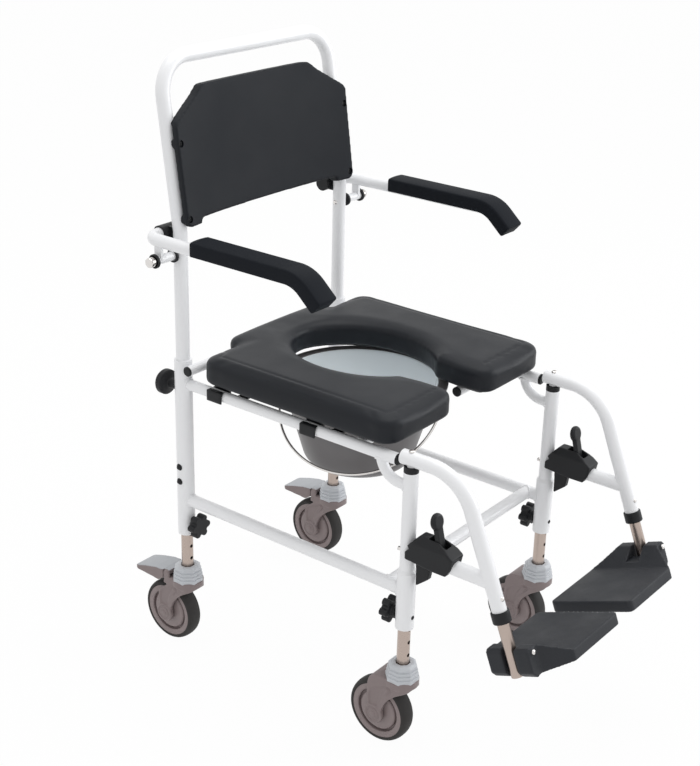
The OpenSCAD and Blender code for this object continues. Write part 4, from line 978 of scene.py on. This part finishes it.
class CHAIR_OT_armrests(bpy.types.Operator):
    """Shapes the arm pads and finishes the armrest tubes and locks"""

    bl_idname = "chair.armrests"
    bl_label = "Armrests"

    def execute(self, context):
        coat = finishes()
        for side in SIDES:
            dress([side + "_armrest_tube"], coat["paint"])
            dress([side + "_armrest_bushes"], coat["plastic"])
            dress([side + "_lock_plunger"], coat["steel"])
            self.lock(side, coat)
            pad = self.pad(side, coat["arm"])
            settle(pad, side + "_armrest", "soft_black", side + "_armrest_pad")
        return {"FINISHED"}

    def lock(self, side, coat):
        """Rounded pull knob of the lock, and the black collars at both ends of its tube."""
        low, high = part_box(side + "_armrest_bushes")
        out = sign(side)
        plunger = side + "_lock_plunger"
        spot = Vector((high[0] if out > 0 else low[0], middle(plunger, 1), middle(plunger, 2)))
        shape = bmesh.new()
        lathe(shape, LOCK_KNOB, facing(spot, (out, 0, 0)), 40)
        settle(piece(side + "_lock_knob", shape, [coat["steel"]], 35), side + "_lock", "bright_steel")
        shape = bmesh.new()
        inner = Vector((place(out * LOCK_INNER_X, 0, 0).x, spot.y, spot.z))
        for centre in (spot, inner):
            loft(shape, lathe_rows(LOCK_COLLAR, facing(centre, (out, 0, 0)), 40), caps=False)
        settle(piece(side + "_lock_collars", shape, [coat["plastic"]], 35), side + "_armrest", "black_plastic")

    def pad(self, side, material):
        """A firm pad lofted along the arm: level, then drooping at the nose."""
        bend, droop = 48.0, math.radians(42.0)
        rear, length, nose = 158.0, 202.0, 71.0
        sweep = bend * droop
        straight = nose - sweep
        stations = [(0.0, 3.2), (0.5, 1.6), (1.4, 0.6), (3.0, 0.0)]
        stations += [(3 + (length - 3) * i / 24, 0.0) for i in range(1, 25)]
        stations += [(length + sweep * i / 14, 0.0) for i in range(1, 15)]
        stations += [(length + sweep + (straight - 5.2) * i / 6, 0.0) for i in range(1, 7)]
        end = length + nose
        stations += [(end - 2.9, 0.0), (end - 1.4, 0.6), (end - 0.5, 1.6), (end, 3.2)]
        shape = bmesh.new()
        rings = []
        for s, shrink in stations:
            a = min(max(s - length, 0.0) / bend, droop)
            past = max(s - length - sweep, 0.0)
            y = rear - min(s, length) - bend * math.sin(a) - past * math.cos(a)
            z = ARM_Z - bend + bend * math.cos(a) - past * math.sin(a)
            section = self.section(shrink, s > end - 5)
            rings.append(
                [place(sign(side) * ARM_X + u, y - v * math.sin(a), z + v * math.cos(a)) for u, v in section]
            )
        loft(shape, rings)
        return piece(side + "_arm_pad", shape, [material], 50)

    def section(self, shrink, closed):
        """Across the pad: crowned top, rolled edges, and a groove for the tube, closed at the nose."""
        w, top, low, r, groove = 23.0 - shrink, 23.0 - shrink, -3.0 + shrink * 0.4, 4.0, 11.3
        points = [(groove, low + 0.8)]
        points += arc((w - 2, low + 2), 2, -90, 0, 5)
        points += arc((w - r, top - r - 1.2), r, 0, 78, 8)
        points += [(w * k, top - 1.2 * k * k) for k in (0.6, 0.4, 0.2, 0.0, -0.2, -0.4, -0.6)]
        points += arc((r - w, top - r - 1.2), r, 102, 180, 8)
        points += arc((2 - w, low + 2), 2, 180, 270, 5)
        points += [(-groove, low + 0.8)]
        points += [(0.98 * u, low + 0.8 if closed else v) for u, v in arc((0, 0), groove, 180, 0, 16)]
        return points


# Legs and castors


TRAIL, WHEEL_R, FORK_TOP, FORK_HALF = 40.0, 60.0, 141.0, 25.5
CHEEK = [
    (-0.67, 0.9), (-0.62, 0.8), (-0.37, 0.74), (0, 0.61), (0.36, 0.42), (0.56, 0.22), (0.65, 0.02),
    (0.78, -0.15), (1, -0.2), (1.24, -0.16), (1.38, -0.02), (1.35, 0.19), (1.38, 0.43),
]
FORK = CHEEK + [(1.38, 0.66), (1.3, 0.85), (1.1, 0.96), (0.7, 1), (0, 1), (-0.6, 1)]
BRAKED_FORK = CHEEK + [(1.32, 0.57), (1.1, 0.68), (0.84, 0.78), (0.7, 0.97), (0.4, 1), (0, 1), (-0.6, 1)]
RIB_INNER, EAR_INNER, SADDLE_HALF, TONGUE_HALF, AXLE_FACE = 20.5, 20.6, 20.0, 20.1, 26.8
PEDAL_SHAFT = [(0, -25), (3, -25), (3, 25), (0, 25)]
HALF_FACET = math.radians(22.5)
AXLE_BOSS = [
    (0, 18.5), (18.6, 18.5), (18.6, 25.4), (17.4, 26.8), (14.6, 27), (13.8, 25), (11.2, 25), (10.5, 26.6),
    (9, 27), (0, 27),
]
PEDAL = [
    (8.4, 6), (8.4, -12.5), (22, -22), (36, -20.5), (78, -18.5), (84, -17), (85, -14.5), (80, -10.5),
    (53, -2), (27, 4.4),
]
PEDAL_PIN = Vector((0, 33, 148)) * MM
PEDAL_TURN = 12.0
PEDAL_TONGUE = [(-3.6, 5), (-3.6, -4.5), (14, -6), (14, 5.4)]
PEDAL_TIP = [(27, 103)] + arc((13.5, 106), 12, 0, 90, 8) + [(13.5, 121), (27, 121)]
WHEEL_ROOM = [(0, -17.6), (63, -17.6), (63, 17.6), (0, 17.6)]
FORK_NOSE = [(32, 2)] + arc((0, 0), 29.4, 0, -90, 10) + [(0, -34), (32, -34)]
CROWN = [(0, 127), (27.5, 127), (29.4, 129), (29.4, 140), (0, 140)]
RIB = [(31, 66), (36, 68), (26, 104), (15, 122), (9, 120), (20, 100)]
EAR = [(26, 126), (40, 126)] + arc((33, 148), 7, 0, 180, 12)
SADDLE = [(18, 126), (41, 126), (41, 138.4), (18, 138.4)]
POCKET = [
    (0.1, 0.72), (0.4, 0.55), (0.66, 0.33), (0.76, 0.12), (0.84, -0.02), (1, -0.08), (1.18, -0.02),
    (1.23, 0.19), (1.25, 0.43), (1.2, 0.55), (1.02, 0.64), (0.74, 0.72), (0.45, 0.8), (0.2, 0.82),
]
COLLAR = [
    (0, 139.5), (29.6, 139.5), (29.6, 146.4), (27.2, 147.2), (27.2, 148.4), (28.4, 149.2), (28.4, 153),
    (25.8, 153.8), (25.8, 155), (27, 155.8), (27, 159.4), (24, 160.2), (24, 161.4), (25.2, 162.2),
    (25.2, 166.4), (20.5, 170.5), (13.2, 170.5), (13.2, 163), (0, 163),
]
TYRE = [
    (51.2, -14.6), (53, -15.2), (55.2, -14.9), (57, -13.4), (58.4, -11), (59.4, -7.6), (59.9, -3.8),
    (60, 0),
]
HUB = [(4.1, -15.5), (9.5, -15.5), (12, -15), (20, -14.6), (28, -13.6)]
HUB += arc((31.5, -8.2), 5.5, -78, 0, 6)
HUB += [(37, -5.5), (41, -5.5), (41, -12.2), (42.2, -13.4), (50, -14.4), (51.1, -14.0)]


def fork_ring(shares):
    return rounded([(s * TRAIL, WHEEL_R + t * (FORK_TOP - WHEEL_R)) for s, t in shares])


class CHAIR_OT_castors(bpy.types.Operator):
    """Moulds the forks, collars, wheels and foot brakes, and finishes the legs"""

    bl_idname = "chair.castors"
    bl_label = "Legs and castors"

    def execute(self, context):
        coat = finishes()
        voxel = context.scene.chair_mould.small_voxel
        for corner in CORNERS:
            dress([corner + "_leg"], coat["leg"])
            y = HALF_BASE if corner.startswith("rear") else -HALF_BASE
            foot = place(sign(corner) * HALF_SPAN, y, 0)
            self.fork(corner, foot, coat, voxel)
            self.hub(corner, foot, coat)
        for side in SIDES:
            self.pedal(side, place(sign(side) * HALF_SPAN, HALF_BASE, 0), coat, voxel)
        return {"FINISHED"}

    def fork(self, corner, foot, coat, voxel):
        """A crown with two arched cheeks, hollowed round the axle boss, under a stepped collar."""
        view = Matrix.Translation(foot) @ SIDE_VIEW
        axle = foot + Vector((0, TRAIL, WHEEL_R)) * MM
        shape = bmesh.new()
        braked = corner.startswith("rear")
        prism(shape, fork_ring(BRAKED_FORK if braked else FORK), view, -FORK_HALF, FORK_HALF)
        fork = piece(corner + "_castor_fork", shape, [])
        cuts = bmesh.new()
        lathe(cuts, WHEEL_ROOM, facing(axle, (1, 0, 0)), 64)
        for out in (-1, 1):
            prism(cuts, fork_ring(POCKET), view, *sorted((out * (FORK_HALF - 2.2), out * (FORK_HALF + 3))))
            prism(cuts, [(out * x, y) for x, y in FORK_NOSE], Matrix.Translation(foot), 100, 160)
        carve(fork, cuts)
        added = bmesh.new()
        for out in (-1, 1):
            lathe(added, AXLE_BOSS, facing(axle, (out, 0, 0)), 56)
            prism(added, RIB, view, *sorted((out * RIB_INNER, out * (FORK_HALF - 0.6))))
            if braked:
                prism(added, EAR, view, *sorted((out * EAR_INNER, out * FORK_HALF)))
        if braked:
            prism(added, SADDLE, view, -SADDLE_HALF, SADDLE_HALF)
        lathe(added, CROWN, Matrix.Translation(foot), 48)
        mould(fork, coat["castor"], voxel, 3, added)
        if braked:
            self.clear(fork, foot)
        settle(fork, corner + "_fork", "castor_plastic", corner + "_fork")
        shape = bmesh.new()
        lathe(shape, COLLAR, Matrix.Translation(foot) @ Matrix.Rotation(HALF_FACET, 4, "Z"), 8)
        # The collar takes the paler grey: partly its own colour, partly painted light from above.
        collar = piece(corner + "_castor_collar", shape, [coat["collar"]])
        modify(collar, "Eased edges", "BEVEL", width=0.0006, segments=2, limit_method="ANGLE")
        bake(collar)
        shade(collar.data, 40)
        settle(collar, corner + "_fork", "castor_plastic")
        spots = [(axle + Vector((out * AXLE_FACE * MM, 0, 0)), (out, 0, 0)) for out in (-1, 1)]
        heads = fasteners(corner + "_axle_heads", dome_head("axle_head", 6.0, 1.8), spots, coat["castor"])
        settle(heads, corner + "_fork", "castor_plastic")

    def clear(self, fork, foot):
        """Room in the fork for the pedal's way down."""
        cuts = bmesh.new()
        for share in (0.5, 1.0):
            turn = Matrix.Rotation(math.radians(-PEDAL_TURN * share), 4, "X")
            view = Matrix.Translation(foot + PEDAL_PIN) @ turn @ SIDE_VIEW
            prism(cuts, inset(PEDAL, -0.9), view, -FORK_HALF - 1, FORK_HALF + 1)
        carve(fork, cuts)
        shade(fork.data, 40)

    def hub(self, corner, foot, coat):
        """A disc with a rolled edge and a ring groove inside the rim, and the tyre round it."""
        axle = facing(foot + Vector((0, TRAIL, WHEEL_R)) * MM, (1, 0, 0))
        for name, half, back, steps, finish_key, sharp, slot_name, node in (
            ("_wheel_disc", HUB, HUB, 72, "hub", 35, "castor_plastic", "_hub"),
            ("_wheel_tread", TYRE, TYRE[:-1], 96, "tyre", 50, "tyre_rubber", "_tyre"),
        ):
            whole = half + [(r, -h) for r, h in reversed(back)]
            shape = bmesh.new()
            loft(shape, lathe_rows(whole + whole[:1], axle, steps), caps=False)
            part = piece(corner + name, shape, [coat[finish_key]], sharp)
            settle(part, corner + "_wheel", slot_name, corner + node)

    def pedal(self, side, foot, coat, voxel):
        """A broad wedge behind the collar, on a pin between the fork's ears."""
        view = Matrix.Translation(foot + PEDAL_PIN) @ SIDE_VIEW
        shape = bmesh.new()
        prism(shape, PEDAL_TONGUE, view, -TONGUE_HALF, TONGUE_HALF)
        prism(shape, PEDAL, view, -FORK_HALF, FORK_HALF)
        lathe(shape, PEDAL_SHAFT, facing(view.translation, (1, 0, 0)), 24)
        pedal = piece(side + "_foot_brake", shape, [])
        cuts = bmesh.new()
        for out in (-1, 1):
            prism(cuts, [(out * x, y) for x, y in PEDAL_TIP], Matrix.Translation(foot), 110, 160)
        carve(pedal, cuts)
        mould(pedal, coat["castor"], voxel, 3)
        # Up-facing faces of the pedal get a paler grey: painted light from above.
        paint_top_light(pedal.data, coat["pedal"])
        settle(pedal, side + "_brake_pedal", "castor_plastic", side + "_brake_pedal")


# Footrests

LINK_Z = 386.0
PLATE_Y, PLATE_Z, HANGER_LEAN = -455.8, 277.3, 22.0
LATCH = [
    (5, -9), (5, 5), (13, 11), (9, 17), (28, 38.5), (64, 39.5), (79, 32), (97, 19), (93, 0), (85, -13),
    (60, -13.5),
]
CHAMFER = [(17, 26), (24, 26), (24, 48), (4.5, 48)]
THUMB = [(0, -5.2), (10.6, -5.2), (13.4, -3.7), (14.4, -1.4), (14.4, 1.4), (13.4, 3.7), (10.6, 5.2), (0, 5.2)]
LEVER_SLOT = [(-8.8, -79), (8.8, -79), (8.8, -44), (-8.8, -44)]
LEVER_NECK = [(-7.8, -4.5), (7.8, -4.5), (7.8, 4.5), (-7.8, 4.5)]
POST_WAY = [(0, -70), (12.9, -70), (12.9, 60), (0, 60)]
LATCH_HALF, FIN_HALF, CLAMP_GAP = 17, 6, 0.110
LEVER_PIN, LEVER_LEAN, THUMB_UP = (0, -68, 13), -14.0, 0.058
LEVER_SHAFT = [(0, -6.5), (6, -6.5), (6, 6.5), (0, 6.5)]
PLATE_SLOT_HALF, PLATE_SLOT_TOP = 12.2, 60.0
PLATE_SLOTS = ((-14.0, 11.6, -60.0), (-2.0, 53.0, -11.6))
KNOB_VOXEL = 0.0009
FIN = [(20, -6), (22, -58), (45, -39), (50, -6)]


class CHAIR_OT_footrests(bpy.types.Operator):
    """Finishes the hangers, latches, extensions and footplates"""

    bl_idname = "chair.footrests"
    bl_label = "Footrests"

    def execute(self, context):
        coat = finishes()
        m = context.scene.chair_mould
        for side in SIDES:
            dress([side + "_hanger"], coat["paint"])
            dress([side + "_extension"], coat["leg"])
            self.latch(side, coat, m.small_voxel)
            plate = soften(side + "_foot_plate", [side + "_footplate"], coat["plate"], m.plate_voxel, 4)
            self.clear(plate, side)
            settle(plate, side + "_footplate", "black_plastic", side + "_footplate")
        return {"FINISHED"}

    def clear(self, plate, side):
        """Keeps the plate's slot open for the tube, with the plate down and folded up."""
        turn = Matrix.Rotation(math.radians(-HANGER_LEAN), 4, "X")
        slot = Matrix.Translation(place(sign(side) * HALF_SPAN, PLATE_Y, PLATE_Z)) @ turn
        cuts = bmesh.new()
        half = PLATE_SLOT_HALF
        for low, high, floor in PLATE_SLOTS:
            ring = [(low, -half), (high, -half), (high, half), (low, half)]
            if side == "left":
                ring = [(-x, -y) for x, y in ring]
            prism(cuts, ring, slot, floor, PLATE_SLOT_TOP)
        carve(plate, cuts)
        shade(plate.data, 40)

    def latch(self, side, coat, voxel):
        """A hooded housing with a claw round the post, a stop fin below it and a thumb lever on top."""
        post = place(sign(side) * HALF_SPAN, -HALF_BASE, LINK_Z)
        view = Matrix.Translation(post) @ SIDE_VIEW
        shape = bmesh.new()
        prism(shape, [(-u, v) for u, v in LATCH], view, -LATCH_HALF, LATCH_HALF)
        prism(shape, [(-u, v) for u, v in FIN], view, -FIN_HALF, FIN_HALF)
        housing = piece(side + "_latch_body", shape, [])
        cuts = bmesh.new()
        for out in (-1, 1):
            prism(cuts, [(out * x, z) for x, z in CHAMFER], Matrix.Translation(post) @ FRONT_VIEW, -5, 105)
        lathe(cuts, POST_WAY, Matrix.Translation(post), 40)
        prism(cuts, LEVER_SLOT, Matrix.Translation(post), 6.6, 60)
        carve(housing, cuts)
        clamp = copy_of([side + "_latch_housing"])
        for shell in islands(clamp):
            if sum(v.co.y for v in shell) / len(shell) > post.y - CLAMP_GAP:
                bmesh.ops.delete(clamp, geom=shell, context="VERTS")
        mould(housing, coat["plastic"], voxel, 9, clamp)
        settle(housing, side + "_hanger", "black_plastic", side + "_latch_housing")
        lean = Matrix.Rotation(math.radians(LEVER_LEAN), 4, "X")
        tilt = Matrix.Translation(post + Vector(LEVER_PIN) * MM) @ lean
        shape = bmesh.new()
        prism(shape, LEVER_NECK, tilt, 0, 60)
        lathe(shape, LEVER_SHAFT, facing(tilt.translation, (1, 0, 0)), 24)
        lathe(shape, THUMB, facing(tilt @ Vector((0, 0, THUMB_UP)), tilt.to_3x3() @ Vector((0, 1, 0))), 40)
        lever = mould(piece(side + "_release_lever", shape, []), coat["plastic"], KNOB_VOXEL, 4)
        settle(lever, side + "_latch", "black_plastic", side + "_latch_lever")


# Knobs and fasteners

KNOB_Z, LOCK_Z = 262.0, 781.0
RIVET_Y, RIVET_Z = -433.6, 364.5
SLEEVE_FACE, PIN_FACE, PLATE_BOLT_HALF = 15.6, 12.4, 44.2
HANGER_FRONT = (0.0, -math.cos(math.radians(HANGER_LEAN)), math.sin(math.radians(HANGER_LEAN)))


class CHAIR_OT_fasteners(bpy.types.Operator):
    """Finishes the knobs and sets the screws, caps and studs"""

    bl_idname = "chair.fasteners"
    bl_label = "Knobs and fasteners"

    def execute(self, context):
        coat = finishes()
        knobs = [(corner + "_clamp_star", corner + "_star_knob") for corner in CORNERS]
        knobs += [(side + "_clamp_knob", side + "_back_knob") for side in SIDES]
        for name, node in knobs:
            settle(soften(name, [node], coat["plastic"], KNOB_VOXEL, 5), node, "black_plastic", node)
        self.bolts(coat)
        self.studs(coat)
        return {"FINISHED"}

    def bolts(self, coat):
        """Black caps on the rear posts, bright stop studs behind the front posts."""
        shape = copy_of(["frame_bolts"])
        for shell in islands(shape):
            if shell[0].co.y < MID_Y:
                for v in shell:
                    for face in v.link_faces:
                        face.material_index = 1
        bolts = piece("frame_bolt_set", shape, [coat["plastic"], coat["steel"]])
        settle(bolts, "frame", "black_plastic", "frame_bolts")

    def studs(self, coat):
        """Bright heads on the locks' pin ends, hangers and plate bolts; black buttons in the front sleeves."""
        sleeves, pins = [], []
        for x in (-HALF_SPAN, HALF_SPAN):
            inward = -1 if x > 0 else 1
            sleeves.append((place(x, -SLEEVE_FACE - HALF_BASE, KNOB_Z), (0, -1, 0)))
            pins.append((place(x + inward * PIN_FACE, HALF_BASE, LOCK_Z), (inward, 0, 0)))
        buttons = fasteners("sleeve_buttons", dome_head("button", 4.0, 1.8), sleeves, coat["plastic"])
        settle(buttons, "frame", "black_plastic")
        domes = fasteners("frame_studs", dome_head("stud", 4.6, 3.4), pins, coat["steel"])
        settle(domes, "frame", "bright_steel")
        front = Vector(HANGER_FRONT)
        for side in SIDES:
            x = sign(side) * HALF_SPAN
            cap = place(x, -HALF_BASE, 0)
            cap.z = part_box(side + "_hanger")[1][2]
            pivot = place(x, PLATE_Y, PLATE_Z)
            rivet = [(place(x, RIVET_Y, RIVET_Z), front)]
            ends = [(pivot + front * way * PLATE_BOLT_HALF * MM, front * way) for way in (-1, 1)]
            for name, head, spots, body in (
                ("_pivot_screw", screw_head("screw", 5.2, 2.6), [(cap, (0, 0, 1))], "_hanger"),
                ("_hanger_rivet", dome_head("rivet", 4.2, 2.6), rivet, "_hanger"),
                ("_plate_bolt", dome_head("bolt", 4.4, 2.4), ends, "_footplate"),
            ):
                heads = fasteners(side + name, head, spots, coat["steel"])
                settle(heads, side + body, "bright_steel")


# Stage

CAMERA_TURN, CAMERA_RISE, CAMERA_ROLL = -52.48, 23.06, 1.493
CAMERA_GAP, CAMERA_AIM = 2.6498, (8.8, 51.6, 522.0)
FOCUS_PIXELS, PHOTO_PIXELS, SENSOR = 1456.7, 766, 24.0
FLOOR_SHARE, WORLD_LEVEL = 0.965, 0.76


class CHAIR_OT_stage(bpy.types.Operator):
    """Sets the floor, the soft studio light and the camera"""

    bl_idname = "chair.stage"
    bl_label = "Stage"

    def execute(self, context):
        scene = context.scene
        scene.view_settings.view_transform = "Standard"
        self.floor()
        self.world(scene)
        self.lamps()
        self.camera(scene)
        return {"FINISHED"}

    def seen(self, tree):
        """1 for rays that show the background: camera, glossy and transmission rays."""
        path = add_node(tree, "ShaderNodeLightPath")
        first = add_node(tree, "ShaderNodeMath", operation="ADD")
        second = add_node(tree, "ShaderNodeMath", operation="ADD", use_clamp=True)
        wire(
            tree,
            (path, "Is Camera Ray", first, 0),
            (path, "Is Glossy Ray", first, 1),
            (first, 0, second, 0),
            (path, "Is Transmission Ray", second, 1),
        )
        return second.outputs[0]

    def floor(self):
        """A wide pale floor that keeps its shadows and meets the background."""
        shape = bmesh.new()
        bmesh.ops.create_grid(shape, x_segments=4, y_segments=4, size=16.0)
        for v in shape.verts:
            v.co.z -= 0.0002
        material = bpy.data.materials.new("pale_floor")
        material.use_nodes = True
        tree = material.node_tree
        shader = tree.nodes["Principled BSDF"]
        fill(shader, {"Base Color": (0.86, 0.86, 0.86, 1), "Roughness": 0.9, "Specular IOR Level": 0.0})
        glow = add_node(tree, "ShaderNodeEmission")
        blend = add_node(tree, "ShaderNodeMixShader")
        share = add_node(tree, "ShaderNodeMath", {1: FLOOR_SHARE}, operation="MULTIPLY")
        out = tree.nodes["Material Output"]
        tree.links.new(self.seen(tree), share.inputs[0])
        wire(
            tree,
            (share, 0, blend, "Fac"),
            (shader, "BSDF", blend, 1),
            (glow, "Emission", blend, 2),
            (blend, "Shader", out, "Surface"),
        )
        piece("floor", shape, [material])

    def world(self, scene):
        """White where the background shows, softer as a light."""
        world = bpy.data.worlds.new("pale_studio")
        scene.world = world
        world.use_nodes = True
        tree = world.node_tree
        light = tree.nodes["Background"]
        fill(light, {"Color": (1, 1, 1, 1)})
        level = add_node(tree, "ShaderNodeMapRange", {"To Min": WORLD_LEVEL, "To Max": 1.0})
        tree.links.new(self.seen(tree), level.inputs["Value"])
        tree.links.new(level.outputs["Result"], light.inputs["Strength"])

    def lamps(self):
        """Two large soft lamps: above, and to the front left of the chair."""
        for name, spot, aim, size, power, colour in (
            ("top_softbox", (0.5, 0.3, 3.2), (0.0, 0.1, 0.4), 2.6, 36.0, (1.0, 1.0, 1.0)),
            ("side_softbox", (2.4, -1.9, 1.5), (0.0, 0.0, 0.5), 1.8, 34.0, (0.96, 0.98, 1.0)),
        ):
            lamp = bpy.data.lights.new(name, "AREA")
            lamp.shape = "SQUARE"
            lamp.size = size
            lamp.energy = power
            lamp.color = colour
            obj = bpy.data.objects.new(name, lamp)
            obj.location = spot
            obj.rotation_euler = (Vector(aim) - Vector(spot)).to_track_quat("-Z", "Y").to_euler()
            bpy.context.scene.collection.objects.link(obj)

    def camera(self, scene):
        """The photograph's angle."""
        turn, rise, roll = (math.radians(a) for a in (CAMERA_TURN, CAMERA_RISE, CAMERA_ROLL))
        back = Vector((math.sin(turn) * math.cos(rise), -math.cos(turn) * math.cos(rise), math.sin(rise)))
        right = (-back).cross(Vector((0, 0, 1))).normalized()
        up = right.cross(-back)
        across = right * math.cos(roll) + up * math.sin(roll)
        above = up * math.cos(roll) - right * math.sin(roll)
        data = bpy.data.cameras.new("photo_camera")
        data.sensor_fit = "VERTICAL"
        data.sensor_height = SENSOR
        data.lens = FOCUS_PIXELS * SENSOR / PHOTO_PIXELS
        camera = bpy.data.objects.new("photo_camera", data)
        scene.collection.objects.link(camera)
        spot = place(*CAMERA_AIM) + back * CAMERA_GAP
        rows = [(across[i], above[i], back[i], spot[i]) for i in range(3)]
        camera.matrix_world = Matrix((*rows, (0, 0, 0, 1)))
        scene.camera = camera


class CHAIR_PT_panel(bpy.types.Panel):
    """Lists the chair's pieces in build order"""

    bl_idname = "CHAIR_PT_panel"
    bl_label = "Shower Commode Chair"
    bl_space_type = "VIEW_3D"
    bl_region_type = "UI"
    bl_category = "Chair"

    def draw(self, context):
        for settings in (context.scene.chair_seat, context.scene.chair_finish, context.scene.chair_mould):
            for name in settings.__annotations__:
                self.layout.prop(settings, name)
        for operator in OPERATORS:
            self.layout.operator(operator.bl_idname)


OPERATORS = (
    CHAIR_OT_stage,
    CHAIR_OT_frame,
    CHAIR_OT_backrest,
    CHAIR_OT_seat,
    CHAIR_OT_pan,
    CHAIR_OT_armrests,
    CHAIR_OT_castors,
    CHAIR_OT_footrests,
    CHAIR_OT_fasteners,
)
CLASSES = (ChairSeatSettings, ChairFinishSettings, ChairMouldSettings) + OPERATORS + (CHAIR_PT_panel,)


def register():
    for cls in CLASSES:
        bpy.utils.register_class(cls)
    bpy.types.Scene.chair_seat = bpy.props.PointerProperty(type=ChairSeatSettings)
    bpy.types.Scene.chair_finish = bpy.props.PointerProperty(type=ChairFinishSettings)
    bpy.types.Scene.chair_mould = bpy.props.PointerProperty(type=ChairMouldSettings)


def unregister():
    del bpy.types.Scene.chair_seat
    del bpy.types.Scene.chair_finish
    del bpy.types.Scene.chair_mould
    for cls in reversed(CLASSES):
        bpy.utils.unregister_class(cls)


def main():
    register()
    bpy.ops.chair.stage()
    bpy.ops.chair.frame()
    bpy.ops.chair.backrest()
    bpy.ops.chair.seat()
    bpy.ops.chair.pan()
    bpy.ops.chair.armrests()
    bpy.ops.chair.castors()
    bpy.ops.chair.footrests()
    bpy.ops.chair.fasteners()


if __name__ == "__main__":
    main()
